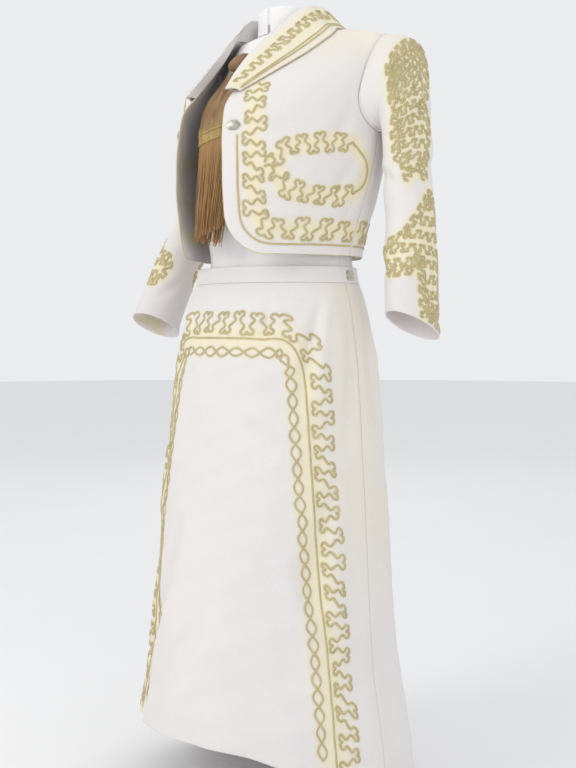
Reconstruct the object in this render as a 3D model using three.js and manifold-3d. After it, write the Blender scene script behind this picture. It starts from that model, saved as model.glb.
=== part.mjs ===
// Mariachi suit, women's cut: open bolero jacket, long skirt, blouse and fringed bow tie.
// It keeps the hollow form that it has when worn.  Millimetres, +Z up, the wearer faces -Y and
// +X is the wearer's left.  The origin is the middle of the neck, level with the neck seam.
import * as THREE from 'three';
import { mergeVertices } from 'three/addons/utils/BufferGeometryUtils.js';
import Module from 'manifold-3d';

const wasm = await Module();
wasm.setup();

// ---------- driving dimensions ----------
const DEG = Math.PI / 180;
const SEAM_GAP = 0.3;              // between two panels that are sewn together
const JACKET_WALL = 2.2;
const COLLAR_WALL = 2.4;
const SKIRT_WALL = 1.8;
const BLOUSE_WALL = 1.2;
const SATIN_WALL = 1.4;

const JACKET_HEM = -408;           // heights are measured from the neck seam
const WAIST_TOP = -426;
const WAIST_BOTTOM = -454;
const CORNER_RADIUS = 65;          // rounded lower front corners
// How flat each front is: 0 is rounded, 1 is straight from the side to the front edge.
const FLATNESS = { collarbone: 0.95, leftChest: 0.15, rightChest: 0.7, chestHeight: -125, until: 70 };

const ARMHOLE = { middle: -112, halfHeight: 82, front: 17, back: 24 };   // front, back in degrees

const SKIRT_HEM_MIDDLE = -1276;    // the hem is lower behind than in front
const SKIRT_HEM_TILT = 73;

const BRAID_WIDTH = 4;
const BRAID_HEIGHT = 1.6;
const BRAID_LIFT = 1.3;            // stitched braid stands just clear of the cloth
const STEPS_PER_WAVE = 4;
const LOBE_GAIN = Math.SQRT2;      // four steps to a wave cut the lobes' tops off

// ---------- tables ----------
// Rings of the jacket: half width, y of the side line, y of the front, y of the back.
const JACKET_RINGS = table(['z', 'half', 'side', 'front', 'back'], [
  [0, 78, 45, -30, 105],
  [-2, 86, 45, -33, 112],
  [-7, 125, 48, -41, 125],
  [-15, 170, 52, -52, 136],
  [-24, 196, 55, -62, 142],
  [-33, 207, 57, -71, 146],
  [-60, 215, 58, -93, 151],
  [-90, 215, 56, -120, 154],
  [-120, 212, 52, -148, 154],
  [-150, 209, 46, -175, 152],
  [-170, 208, 42, -187, 150],
  [-215, 206, 32, -196, 146],
  [-260, 203, 24, -198, 140],
  [-300, 196, 16, -198, 134],
  [-340, 186, 10, -195, 128],
  [-380, 174, 6, -190, 126],
  [-408, 168, 4, -188, 128],
]);
// How far each front edge stands from the middle.
const FRONT_EDGE = table(['z', 'x'], [
  [0, 76], [-12, 64], [-30, 51], [-59, 46], [-96, 46], [-150, 50], [-250, 56], [-408, 56],
]);
const BLOUSE_RINGS = table(['z', 'half', 'side', 'front', 'back'], [
  [-2, 64, 45, -18, 100],
  [-4.6, 84, 45, -22, 106],
  [-9.6, 123.8, 48, -29, 117],
  [-17.6, 168.4, 52, -37, 126],
  [-27, 186, 54, -45, 131],
  [-40, 193, 55, -54, 134],
  [-56, 196, 56, -65, 138],
  [-90, 192, 56, -86, 141],
  [-140, 176, 48, -116, 140],
  [-215, 168, 34, -138, 132],
  [-300, 160, 18, -140, 118],
  [-360, 154, 8, -132, 112],
  [-405, 152, 2, -120, 116],
  [-426, 154.2, 0, -120.2, 120.2],
  [-450, 157.4, 0, -124.4, 124.4],
]);
const SKIRT_RINGS = table(['z', 'half', 'deep', 'middle'], [
  [-426, 158, 124, 0],
  [-454, 162, 129, 0],
  [-480, 171, 140, 0],
  [-540, 182, 156, 0],
  [-600, 190, 167, 0],
  [-826, 208, 189, -4],
  [-1093, 226, 212, -12],
  [-1230, 248, 233, -15],
  [-1350, 260, 246, -18],
]);
// Folds of the skirt: direction, half width in degrees, depth at the hem, where it starts (0 to 1).
const SKIRT_FOLDS = [
  { angle: -74, reach: 17, depth: 15, start: 0.26 },
  { angle: -40, reach: 17, depth: -13, start: 0.40 },
  { angle: -6, reach: 18, depth: 9, start: 0.50 },
  { angle: 32, reach: 19, depth: -10, start: 0.46 },
  { angle: 88, reach: 15, depth: 9, start: 0.36 },
  { angle: 112, reach: 17, depth: 12, start: 0.26 },
  { angle: 148, reach: 15, depth: 11, start: 0.38 },
  { angle: 183, reach: 19, depth: 15, start: 0.22 },
  { angle: 221, reach: 15, depth: 11, start: 0.40 },
  { angle: 254, reach: 16, depth: 13, start: 0.28 },
];
// Left sleeve from armhole to cuff: the outer line, the inner line, the middle's y, half depth, and
// how much higher the row is in front than in its middle.
const SLEEVE_ROWS = table(['row', 'outerX', 'outerZ', 'innerX', 'innerZ', 'middleY', 'halfDeep', 'rake'], [
  [0, 207, -30, 207, -194, 54, 66, 0],
  [1, 236, -34, 211, -200, 57, 67, 0],
  [2, 259, -46, 214, -206, 60, 64, 0],
  [3, 270, -74, 216, -215, 61, 61, 0],
  [4, 273, -120, 217, -228, 61, 58, 0],
  [5, 277, -176, 218, -246, 60, 56, 0],
  [6, 284, -238, 219, -276, 57, 54, 0],
  [7, 292, -300, 221, -320, 52, 52, 0],
  [8, 302, -370, 226, -376, 45, 50, 0],
  [9, 312, -440, 232, -440, 37, 50, 6],
  [10, 319, -500, 238, -496, 29, 51, 16],
  [11, 323, -530, 242, -524, 26, 52, 24],
]);
const RIGHT_SLEEVE_SWING = table(['z', 'forward'], [
  [-40, 0], [-290, 4], [-370, 25], [-430, 45], [-530, 72],
]);
// Creases of a sleeve: row, direction in degrees, reach in rows, reach in degrees, depth.
const SLEEVE_CREASES = [
  { row: 5.2, angle: 60, rows: 0.9, reach: 80, depth: 3.2 },
  { row: 6.4, angle: -40, rows: 0.7, reach: 70, depth: 2.6 },
  { row: 7.6, angle: 110, rows: 0.8, reach: 90, depth: 3.4 },
  { row: 9.3, angle: 20, rows: 0.6, reach: 75, depth: 2.2 },
];
// Left half of the shawl collar from the nape to the break point: neck seam (direction in degrees
// and height; along the front it follows the front edge, so only its height is given), roll, and
// where the outer edge lies on the jacket (direction and height).
const COLLAR_ROWS = [
  { seam: 180, seamZ: -1.5, roll: [0, 103, 36], angle: 180, z: -6 },
  { seam: 153, seamZ: -1.5, roll: [31, 95, 37], angle: 153, z: -6 },
  { seam: 124, seamZ: -1.5, roll: [53, 76, 40], angle: 124, z: -6 },
  { seam: 97, seamZ: -1.5, roll: [72, 48, 44], angle: 97, z: -6 },
  { seamZ: -3, roll: [69, 16, 43], angle: 76, z: -8 },
  { seamZ: -9, roll: [61, -9, 31], angle: 61, z: -17 },
  { seamZ: -20, roll: [51, -40, 4], angle: 51, z: -32 },
  { seamZ: -38, roll: [44, -78, -30], angle: 43, z: -52 },
  { seamZ: -66, roll: [41, -113, -64], angle: 33, z: -84 },
  { seamZ: -100, roll: [41, -145, -99], angle: 25, z: -113 },
  { seamZ: -139, roll: [48, -180, -140], angle: 16.5, z: -144 },
];

// ---------- small helpers ----------
function table(names, rows) {
  const direction = Math.sign(rows[1][0] - rows[0][0]);
  const key = rows.map((row) => row[0] * direction);
  const slope = (k, c) => {
    const low = Math.max(k - 1, 0);
    const high = Math.min(k + 1, rows.length - 1);
    return (rows[high][c] - rows[low][c]) / (key[high] - key[low]);
  };
  return (at) => {
    const x = THREE.MathUtils.clamp(at * direction, key[0], key[key.length - 1]);
    let k = 0;
    while (k < rows.length - 2 && key[k + 1] < x) k += 1;
    const span = key[k + 1] - key[k];
    const f = (x - key[k]) / span;
    const result = {};
    names.forEach((name, c) => {
      const a = rows[k][c];
      const b = rows[k + 1][c];
      const bend = f * (1 - f);
      result[name] = a + (b - a) * f * f * (3 - 2 * f)
        + span * bend * ((1 - f) * slope(k, c) - f * slope(k + 1, c));
    });
    return result;
  };
}

const point = (x, y, z) => new THREE.Vector3(x, y, z);
const mix = (a, b, f) => a + (b - a) * f;
const smooth = (f) => THREE.MathUtils.smoothstep(f, 0, 1);
const bump = (f) => (Math.abs(f) < 1 ? Math.cos(f * Math.PI / 2) ** 2 : 0);
const turnTo = (angle, other) => ((angle - other + 540) % 360) - 180;

function closedMesh(points, triangles) {
  let volume = 0;
  for (const [a, b, c] of triangles) {
    volume += points[a].dot(point(0, 0, 0).crossVectors(points[b], points[c]));
  }
  const geometry = new THREE.BufferGeometry();
  const places = points.flatMap((p) => p.toArray());
  geometry.setAttribute('position', new THREE.Float32BufferAttribute(places, 3));
  geometry.setIndex(triangles.flatMap(([a, b, c]) => (volume > 0 ? [a, b, c] : [a, c, b])));
  return geometry;
}

// A closed wall between an outer and an inner grid of points, rows by columns.
function wallBetween(outer, inner, wrap) {
  const rows = outer.length;
  const columns = outer[0].length;
  const points = [...outer.flat(), ...inner.flat()];
  const shift = rows * columns;
  const index = (j, i) => j * columns + (i % columns);
  const triangles = [];
  const quad = (a, b, c, d) => triangles.push([a, b, c], [a, c, d]);
  const steps = wrap ? columns : columns - 1;
  for (let j = 0; j < rows - 1; j += 1) {
    for (let i = 0; i < steps; i += 1) {
      const [a, b, c, d] = [index(j, i), index(j + 1, i), index(j + 1, i + 1), index(j, i + 1)];
      triangles.push([a, b, d], [b, c, d]);
      triangles.push([a + shift, d + shift, b + shift], [b + shift, d + shift, c + shift]);
    }
  }
  for (let i = 0; i < steps; i += 1) {
    quad(index(0, i), index(0, i + 1), index(0, i + 1) + shift, index(0, i) + shift);
    const last = rows - 1;
    quad(index(last, i + 1), index(last, i), index(last, i) + shift, index(last, i + 1) + shift);
  }
  if (!wrap) {
    for (let j = 0; j < rows - 1; j += 1) {
      quad(index(j + 1, 0), index(j, 0), index(j, 0) + shift, index(j + 1, 0) + shift);
      const end = columns - 1;
      quad(index(j, end), index(j + 1, end), index(j + 1, end) + shift, index(j, end) + shift);
    }
  }
  return closedMesh(points, triangles);
}

// A panel of cloth on a surface.  Each row has its v and the u where it starts and ends.
class Cloth {
  constructor({ surface, rows, columns, wall, wrap = false, turn = 1 }) {
    Object.assign(this, { surface, rows, columns, wrap, turn });
    const count = wrap ? columns : columns + 1;
    this.outer = rows.map((row) => Array.from({ length: count }, (_, i) => (
      surface(mix(row.from, row.to, i / columns), row.v))));
    this.normals = rows.map((row) => Array.from({ length: count }, (_, i) => (
      this.normal(mix(row.from, row.to, i / columns), row.v))));
    const inner = this.outer.map((line, j) => line.map((p, i) => (
      p.clone().addScaledVector(this.normals[j][i], -wall))));
    this.geometry = wallBetween(this.outer, inner, wrap);
  }

  metric(u, v) {
    const last = this.rows[this.rows.length - 1];
    const stepU = Math.abs(last.to - last.from) / 900;
    const stepV = Math.abs(last.v - this.rows[0].v) / 900;
    const alongU = this.surface(u + stepU, v).sub(this.surface(u - stepU, v)).divideScalar(2 * stepU);
    const alongV = this.surface(u, v + stepV).sub(this.surface(u, v - stepV)).divideScalar(2 * stepV);
    return { alongU, alongV };
  }

  normal(u, v) {
    const { alongU, alongV } = this.metric(u, v);
    return alongU.cross(alongV).normalize().multiplyScalar(this.turn);
  }

  // The point of the faceted outer face at (u, v), and the direction away from the cloth there.
  at(u, v) {
    const { rows, columns } = this;
    const down = Math.sign(rows[rows.length - 1].v - rows[0].v);
    let j = 0;
    while (j < rows.length - 2 && (v - rows[j + 1].v) * down > 0) j += 1;
    const fv = THREE.MathUtils.clamp((v - rows[j].v) / (rows[j + 1].v - rows[j].v), 0, 1);
    const from = mix(rows[j].from, rows[j + 1].from, fv);
    const to = mix(rows[j].to, rows[j + 1].to, fv);
    let s = (u - from) / (to - from);
    s = this.wrap ? s - Math.floor(s) : THREE.MathUtils.clamp(s, 0, 1);
    const i = Math.min(Math.floor(s * columns), columns - 1);
    const fu = s * columns - i;
    const next = this.wrap ? (i + 1) % columns : i + 1;
    const blend = (grid) => {
      const [a, b, c, d] = [grid[j][i], grid[j + 1][i], grid[j + 1][next], grid[j][next]];
      const result = point(0, 0, 0);
      if (fu + fv <= 1) {
        return result.addScaledVector(a, 1 - fu - fv).addScaledVector(b, fv).addScaledVector(d, fu);
      }
      return result.addScaledVector(c, fu + fv - 1).addScaledVector(b, 1 - fu).addScaledVector(d, 1 - fv);
    };
    return { position: blend(this.outer), away: blend(this.normals).normalize() };
  }

  above(u, v, height) {
    const { position, away } = this.at(u, v);
    return position.addScaledVector(away, height);
  }
}

// A line that lies on a cloth, measured in millimetres along it and sideways from it.
class Trail {
  constructor(cloth, points) {
    this.cloth = cloth;
    const curve = new THREE.CatmullRomCurve3(points.map(([u, v]) => point(u, v, 0)), false, 'centripetal');
    const count = 24 * points.length;
    this.samples = curve.getPoints(count).map((p) => ({ u: p.x, v: p.y, length: 0 }));
    for (let k = 1; k < this.samples.length; k += 1) {
      const a = this.samples[k - 1];
      const b = this.samples[k];
      b.length = a.length + cloth.surface(a.u, a.v).distanceTo(cloth.surface(b.u, b.v));
    }
    this.length = this.samples[this.samples.length - 1].length;
  }

  // (u, v) at a length along the line and a distance to its left, seen from outside.
  place(length, aside) {
    const { samples } = this;
    let k = 0;
    while (k < samples.length - 2 && samples[k + 1].length < length) k += 1;
    const a = samples[k];
    const b = samples[k + 1];
    const f = (length - a.length) / (b.length - a.length);
    const u = mix(a.u, b.u, f);
    const v = mix(a.v, b.v, f);
    const { alongU, alongV } = this.cloth.metric(u, v);
    const sizeU = alongU.length();
    const sizeV = alongV.length();
    const run = point((b.u - a.u) * sizeU, (b.v - a.v) * sizeV, 0).normalize();
    const hand = this.cloth.turn;
    return [u - hand * run.y * aside / sizeU, v + hand * run.x * aside / sizeV];
  }
}

// Adds a step wherever a straight stretch of braid would sink into a rounded cloth.
const MOST_SAG = 0.6;
function eased(trail, steps) {
  const onCloth = ([length, aside]) => trail.cloth.at(...trail.place(length, aside));
  const result = [steps[0]];
  for (let k = 1; k < steps.length; k += 1) {
    const a = steps[k - 1];
    const b = steps[k];
    const middle = a.map((value, c) => (value + b[c]) / 2);
    const chord = onCloth(a).position.add(onCloth(b).position).multiplyScalar(0.5);
    const { position, away } = onCloth(middle);
    if (position.sub(chord).dot(away) > MOST_SAG) result.push(middle);
    result.push(b);
  }
  return result;
}

// Braid: a band of triangular section laid along (length, aside) steps of a trail.
function braid(trail, plannedSteps, width = BRAID_WIDTH, lift = BRAID_LIFT) {
  const steps = eased(trail, plannedSteps);
  const points = [];
  const triangles = [];
  steps.forEach(([length, aside, ownWidth], k) => {
    const before = steps[Math.max(k - 1, 0)];
    const after = steps[Math.min(k + 1, steps.length - 1)];
    const run = new THREE.Vector2(after[0] - before[0], after[1] - before[1]).normalize();
    const half = (ownWidth ?? width) / 2;
    const left = trail.place(length - run.y * half, aside + run.x * half);
    const right = trail.place(length + run.y * half, aside - run.x * half);
    points.push(trail.cloth.above(...left, lift));
    points.push(trail.cloth.above(...right, lift));
    points.push(trail.cloth.above(...trail.place(length, aside), lift + BRAID_HEIGHT));
  });
  for (let k = 0; k < steps.length - 1; k += 1) {
    for (let side = 0; side < 3; side += 1) {
      const a = 3 * k + side;
      const b = 3 * k + ((side + 1) % 3);
      triangles.push([a, b, b + 3], [a, b + 3, a + 3]);
    }
  }
  const last = 3 * (steps.length - 1);
  triangles.push([2, 1, 0], [last, last + 1, last + 2]);
  return closedMesh(points, triangles);
}

const straight = (from, to, count, aside) => (
  Array.from({ length: count + 1 }, (_, k) => [mix(from, to, k / count), aside]));

// A serpentine row with rounded lobes.
const LOBE_BULGE = 0.55;
function serpentine({ from, to, pitch, reach, aside, ease = () => 1 }) {
  const waves = Math.round((to - from) / pitch);
  const real = (to - from) / waves;
  const result = [];
  for (let k = 0; k < waves * STEPS_PER_WAVE; k += 1) {
    const phase = (k + 0.5) / STEPS_PER_WAVE;
    const angle = phase * 2 * Math.PI;
    const share = ease(phase / waves);
    const length = from + real * (phase - share * LOBE_BULGE * Math.sin(2 * angle) / (2 * Math.PI));
    result.push([length, aside + LOBE_GAIN * reach * share * Math.sin(angle)]);
  }
  return result;
}

function joined(geometries) {
  const solids = geometries.map((geometry) => {
    geometry.deleteAttribute('normal');
    geometry.deleteAttribute('uv');
    const merged = mergeVertices(geometry, 1e-4);
    return new wasm.Manifold(new wasm.Mesh({
      numProp: 3,
      vertProperties: new Float32Array(merged.attributes.position.array),
      triVerts: new Uint32Array(merged.index.array),
    }));
  });
  const whole = wasm.Manifold.union(solids).getMesh();
  const result = new THREE.BufferGeometry();
  result.setAttribute('position', new THREE.BufferAttribute(new Float32Array(whole.vertProperties), 3));
  result.setIndex(new THREE.BufferAttribute(new Uint32Array(whole.triVerts), 1));
  return result;
}

// ---------- materials ----------
const IVORY = { color: 0xe9e5de, roughness: 0.85, metalness: 0 };
const WHITE = { color: 0xf3f3f2, roughness: 0.8, metalness: 0 };
const GOLD_BRAID = { color: 0xd8cb92, roughness: 0.55, metalness: 0.1 };
const SATIN = { color: 0x8f6a35, roughness: 0.35, metalness: 0 };
const FRINGE = { color: 0xa67a3c, roughness: 0.5, metalness: 0 };
const SILVER = { color: 0xc9c2ae, roughness: 0.35, metalness: 0.9 };

const suit = new THREE.Group();
function add(name, geometry, finish) {
  const mesh = new THREE.Mesh(geometry, new THREE.MeshStandardMaterial(finish));
  mesh.name = name;
  suit.add(mesh);
}

// ---------- jacket ----------
function ringPoint(ring, angle, z) {
  const c = Math.cos(angle * DEG);
  const reach = c > 0 ? ring.side - ring.front : ring.back - ring.side;
  return point(ring.half * Math.sin(angle * DEG), ring.side - reach * c, z);
}

const straightEdgeAngle = (z) => Math.asin(FRONT_EDGE(z).x / JACKET_RINGS(z).half) / DEG;

// A ring of the jacket or blouse, flattened between the front edge and the side.
function bodiceSurface(rings, angle, z) {
  const ring = rings(z);
  const p = ringPoint(ring, angle, z);
  const turn = turnTo(angle, 0);
  const edge = Math.asin(Math.min(FRONT_EDGE(z).x / ring.half, 1)) / DEG;
  if (Math.abs(turn) > 90 || Math.abs(turn) < edge) return p;
  const hand = Math.sign(turn);
  const share = (Math.abs(turn) - edge) / (90 - edge);
  const chord = ringPoint(ring, hand * edge, z).lerp(ringPoint(ring, hand * 90, z), share);
  const chest = hand < 0 ? FLATNESS.rightChest : FLATNESS.leftChest;
  const flatness = mix(FLATNESS.collarbone, chest, smooth(z / FLATNESS.chestHeight));
  return p.lerp(chord, flatness * (1 - smooth((Math.abs(turn) - FLATNESS.until) / (90 - FLATNESS.until))));
}
const jacketSurface = (angle, z) => bodiceSurface(JACKET_RINGS, angle, z);

const armholeShare = (z) => {
  const f = (z - ARMHOLE.middle) / ARMHOLE.halfHeight;
  return Math.abs(f) < 1 ? Math.sqrt(1 - f * f) : 0;
};

// The angle that lies this many millimetres along the cloth from the straight front edge.
const EDGE_STEPS = 8;
function angleFromEdge(hand, across, z) {
  let angle = straightEdgeAngle(z);
  for (let k = 0; k < EDGE_STEPS; k += 1) {
    const perDegree = jacketSurface(hand * (angle + 1), z).distanceTo(jacketSurface(hand * angle, z));
    angle += across / EDGE_STEPS / perDegree;
  }
  return hand * angle;
}

function frontEdgeAngle(hand, z) {
  const rise = z - (JACKET_HEM + CORNER_RADIUS);
  const corner = rise < 0 ? CORNER_RADIUS - Math.sqrt(Math.max(CORNER_RADIUS ** 2 - rise ** 2, 0)) : 0;
  return angleFromEdge(hand, corner, z);
}

const SEAM_HALF_ANGLE = 0.13;      // half of the seam gap at a side seam, in degrees
const JACKET_HEIGHTS = [
  -2, -7, -15, -30, -38, -58, -88, -120, -150, -176, -189, -195, -235, -275, -315, -343,
  -362, -380, -395, -404, -408,
];
const FRONT_COLUMNS = 7;
const BACK_COLUMNS = 13;
const BACK_SKIPS = [-275, -343, -380, -404];   // heights that only the fronts' corners need

function jacketFront(hand) {
  return new Cloth({
    surface: jacketSurface,
    rows: JACKET_HEIGHTS.map((z) => ({
      v: z,
      from: frontEdgeAngle(hand, z),
      to: hand * (90 - SEAM_HALF_ANGLE - ARMHOLE.front * armholeShare(z)),
    })),
    columns: FRONT_COLUMNS,
    wall: JACKET_WALL,
  });
}

const jacketLeft = jacketFront(1);
const jacketRight = jacketFront(-1);
const BACK_HEIGHTS = JACKET_HEIGHTS.filter((z) => !BACK_SKIPS.includes(z));
const jacketBack = new Cloth({
  surface: jacketSurface,
  rows: BACK_HEIGHTS.map((z) => ({
    v: z,
    from: 90 + SEAM_HALF_ANGLE + ARMHOLE.back * armholeShare(z),
    to: 270 - SEAM_HALF_ANGLE - ARMHOLE.back * armholeShare(z),
  })),
  columns: BACK_COLUMNS,
  wall: JACKET_WALL,
});
add('jacket_front_left', jacketLeft.geometry, IVORY);
add('jacket_front_right', jacketRight.geometry, IVORY);
add('jacket_back', jacketBack.geometry, IVORY);

// ---------- sleeves ----------
const ARMHOLE_LIFT = 2.7;
const SLEEVE_BLEND_ROWS = 1.6;

function armholePoint(hand, angle) {
  const side = Math.sin(angle * DEG);
  const around = hand * (90 - (side > 0 ? ARMHOLE.front : ARMHOLE.back) * side);
  const z = ARMHOLE.middle + ARMHOLE.halfHeight * Math.cos(angle * DEG);
  return jacketSurface(around, z).addScaledVector(jacketLeft.normal(around, z), ARMHOLE_LIFT);
}

function sleeveSurface(hand) {
  return (angle, v) => {
    const row = SLEEVE_ROWS(v);
    const outer = point(row.outerX, row.middleY, row.outerZ);
    const inner = point(row.innerX, row.middleY, row.innerZ);
    const middle = outer.clone().add(inner).multiplyScalar(0.5);
    const half = outer.sub(middle);
    let crease = 0;
    for (const c of SLEEVE_CREASES) {
      crease += c.depth * bump((v - c.row) / c.rows) * bump(turnTo(angle, c.angle) / c.reach);
    }
    const scale = 1 - crease / row.halfDeep;
    const p = middle.addScaledVector(half, Math.cos(angle * DEG) * scale);
    p.y -= Math.sin(angle * DEG) * row.halfDeep * scale;
    p.z += Math.sin(angle * DEG) * row.rake;
    if (hand < 0) {
      p.x = -p.x;
      p.y -= RIGHT_SLEEVE_SWING(p.z).forward;
    }
    return p.lerp(armholePoint(hand, angle), 1 - smooth(v / SLEEVE_BLEND_ROWS));
  };
}

const SLEEVE_STEPS = [0, 0.7, 1.5, 2.5, 3.7, 5, 6, 7, 8, 9, 10, 11];
const SLEEVE_COLUMNS = 16;
function sleeve(hand) {
  return new Cloth({
    surface: sleeveSurface(hand),
    rows: SLEEVE_STEPS.map((row) => ({ v: row, from: 0, to: 360 })),
    columns: SLEEVE_COLUMNS,
    wall: JACKET_WALL,
    wrap: true,
    turn: hand,
  });
}
const sleeveLeft = sleeve(1);
const sleeveRight = sleeve(-1);
add('sleeve_left', sleeveLeft.geometry, IVORY);
add('sleeve_right', sleeveRight.geometry, IVORY);

// ---------- shawl collar ----------
const COLLAR_LIFT = 1.1;           // the fall rests this far off the jacket
const COLLAR_PUFF = 4;             // how far the roll's bulge stands off the straight fall
const COLLAR_ROLL_AT = 0.36;       // share of the way from the neck seam to the outer edge
const COLLAR_STAND_INSET = 1.5;    // between the neck seam and the back of the stand
const NECK_MIDDLE_Y = 45;

function collarSurface(hand) {
  const curve = (pick) => new THREE.CatmullRomCurve3(COLLAR_ROWS.map(pick), false, 'centripetal');
  const seam = curve((row) => (
    point(row.seam ?? Math.abs(frontEdgeAngle(hand, row.seamZ)), row.seamZ, 0)));
  const roll = curve(({ roll: [x, y, z] }) => point(hand * x, y, z));
  const lie = curve((row) => point(row.angle, row.z, 0));
  const onJacket = (angle, z, lift) => (
    jacketSurface(hand * angle, z).addScaledVector(jacketLeft.normal(hand * angle, z), lift));
  return (across, along) => {
    const t = THREE.MathUtils.clamp(along, 0, 1);
    const start = seam.getPoint(t);
    const end = lie.getPoint(t);
    const fold = roll.getPoint(t);
    if (across < COLLAR_ROLL_AT) {
      const foot = jacketSurface(hand * start.x, start.y);
      const inward = point(-foot.x, Math.min(NECK_MIDDLE_Y - foot.y, 0), 0).normalize();
      foot.addScaledVector(inward, COLLAR_STAND_INSET + COLLAR_WALL);
      return foot.lerp(fold, across / COLLAR_ROLL_AT);
    }
    const f = (across - COLLAR_ROLL_AT) / (1 - COLLAR_ROLL_AT);
    const base = (share) => onJacket(
      mix(start.x, end.x, share), mix(start.y, end.y, share), COLLAR_LIFT + COLLAR_WALL);
    const rise = fold.sub(base(0)).multiplyScalar((1 - f) ** 2 * (1 + f));
    return base(f).add(rise).addScaledVector(
      jacketLeft.normal(hand * end.x, end.y), COLLAR_PUFF * 4 * f * (1 - f));
  };
}

const COLLAR_NAPE_GAP = 0.002;     // keeps the two halves a seam apart at the nape
const COLLAR_END = 0.985;
const COLLAR_STEPS_ALONG = 13;
const COLLAR_STEPS_ACROSS = 7;
function collarHalf(hand) {
  return new Cloth({
    surface: collarSurface(hand),
    rows: Array.from({ length: COLLAR_STEPS_ALONG + 1 }, (_, k) => (
      { v: mix(COLLAR_NAPE_GAP, COLLAR_END, k / COLLAR_STEPS_ALONG), from: 0, to: 1 })),
    columns: COLLAR_STEPS_ACROSS,
    wall: COLLAR_WALL,
    turn: -hand,
  });
}
const collarLeft = collarHalf(1);
const collarRight = collarHalf(-1);
add('collar_left', collarLeft.geometry, IVORY);
add('collar_right', collarRight.geometry, IVORY);

// ---------- skirt ----------
const skirtHem = (angle) => SKIRT_HEM_MIDDLE + SKIRT_HEM_TILT * Math.cos(angle * DEG);
const SKIRT_TOP = WAIST_BOTTOM - SEAM_GAP;

function skirtSurface(angle, down) {
  const z = mix(SKIRT_TOP, skirtHem(angle), down);
  const ring = SKIRT_RINGS(z);
  let fold = 0;
  for (const f of SKIRT_FOLDS) {
    fold += f.depth * smooth((down - f.start) / (1 - f.start)) * bump(turnTo(angle, f.angle) / f.reach);
  }
  return point(
    (ring.half + fold) * Math.sin(angle * DEG),
    ring.middle - (ring.deep + fold) * Math.cos(angle * DEG),
    z,
  );
}

const SKIRT_SEAM_HALF_ANGLE = 0.09;
const SKIRT_STEPS = [0, 0.06, 0.13, 0.21, 0.31, 0.42, 0.54, 0.66, 0.78, 0.89, 1];
function skirtPanel(from, to, columns) {
  return new Cloth({
    surface: skirtSurface,
    rows: SKIRT_STEPS.map((down) => ({
      v: down,
      from: from + SKIRT_SEAM_HALF_ANGLE,
      to: to - SKIRT_SEAM_HALF_ANGLE,
    })),
    columns,
    wall: SKIRT_WALL,
    turn: -1,
  });
}
const skirtFront = skirtPanel(-90, 90, 16);
const skirtBack = skirtPanel(90, 270, 15);
add('skirt_front', skirtFront.geometry, IVORY);
add('skirt_back', skirtBack.geometry, IVORY);

const WAISTBAND_WALL = 2.4;
const WAISTBAND_COLUMNS = 28;
const waistSurface = (angle, z) => {
  const ring = SKIRT_RINGS(z);
  return point(ring.half * Math.sin(angle * DEG), -ring.deep * Math.cos(angle * DEG), z);
};
const waistband = new Cloth({
  surface: waistSurface,
  rows: [WAIST_TOP, WAIST_BOTTOM].map((z) => ({ v: z, from: 0, to: 360 })),
  columns: WAISTBAND_COLUMNS,
  wall: WAISTBAND_WALL,
  wrap: true,
});
add('waistband', waistband.geometry, IVORY);

// ---------- blouse ----------
const BLOUSE_HEIGHTS = [
  -2, -4.6, -9.6, -17.6, -30, -42, -70, -112, -160, -190, -195, -260, -330, -396, -426, -450,
];
const blouseSurface = (angle, z) => bodiceSurface(BLOUSE_RINGS, angle, z);
function blousePanel(from, to, hole, columns) {
  const inset = (z) => SEAM_HALF_ANGLE + hole * armholeShare(z);
  return new Cloth({
    surface: blouseSurface,
    rows: BLOUSE_HEIGHTS.map((z) => ({ v: z, from: from + inset(z), to: to - inset(z) })),
    columns,
    wall: BLOUSE_WALL,
  });
}
const BLOUSE_ARMHOLE_GROWTH = 4;   // degrees that its armholes are wider than the jacket's
add('blouse_front', blousePanel(-90, 90, ARMHOLE.front + BLOUSE_ARMHOLE_GROWTH, 9).geometry, WHITE);
add('blouse_back', blousePanel(90, 270, ARMHOLE.back + BLOUSE_ARMHOLE_GROWTH, 8).geometry, WHITE);

const BLOUSE_COLLAR = {
  foot: -1.5, front: 44, back: 34, half: 63, side: 42, deepFront: 61, deepBack: 56,
  lean: 4, wall: 1.8, opening: 3, columns: 20,
};
const blouseCollar = new Cloth({
  surface: (angle, up) => {
    const c = Math.cos(angle * DEG);
    const b = BLOUSE_COLLAR;
    const top = mix(b.back, b.front, (1 + c) / 2);
    const shrink = b.lean * up;
    const deep = (c > 0 ? b.deepFront : b.deepBack) - shrink;
    const x = (b.half - shrink) * Math.sin(angle * DEG);
    return point(x, b.side - deep * c - shrink, mix(b.foot, top, up));
  },
  rows: [0, 0.5, 1].map((up) => ({ v: up, from: BLOUSE_COLLAR.opening, to: 360 - BLOUSE_COLLAR.opening })),
  columns: BLOUSE_COLLAR.columns,
  wall: BLOUSE_COLLAR.wall,
});
add('blouse_collar', blouseCollar.geometry, WHITE);

// ---------- bow tie ----------
const KNOT = {
  middle: point(-4, -86.5, -67), width: 60, height: 30, thick: 24, grooveDepth: 0.12, grooves: 9,
};
const TAIL_SHAPE = {
  topWidth: 66, footWidth: 84, pleats: 4, pleatDepth: 3, pleatLoss: 0.55, crown: 6, nearTop: 0.25,
};
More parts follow.
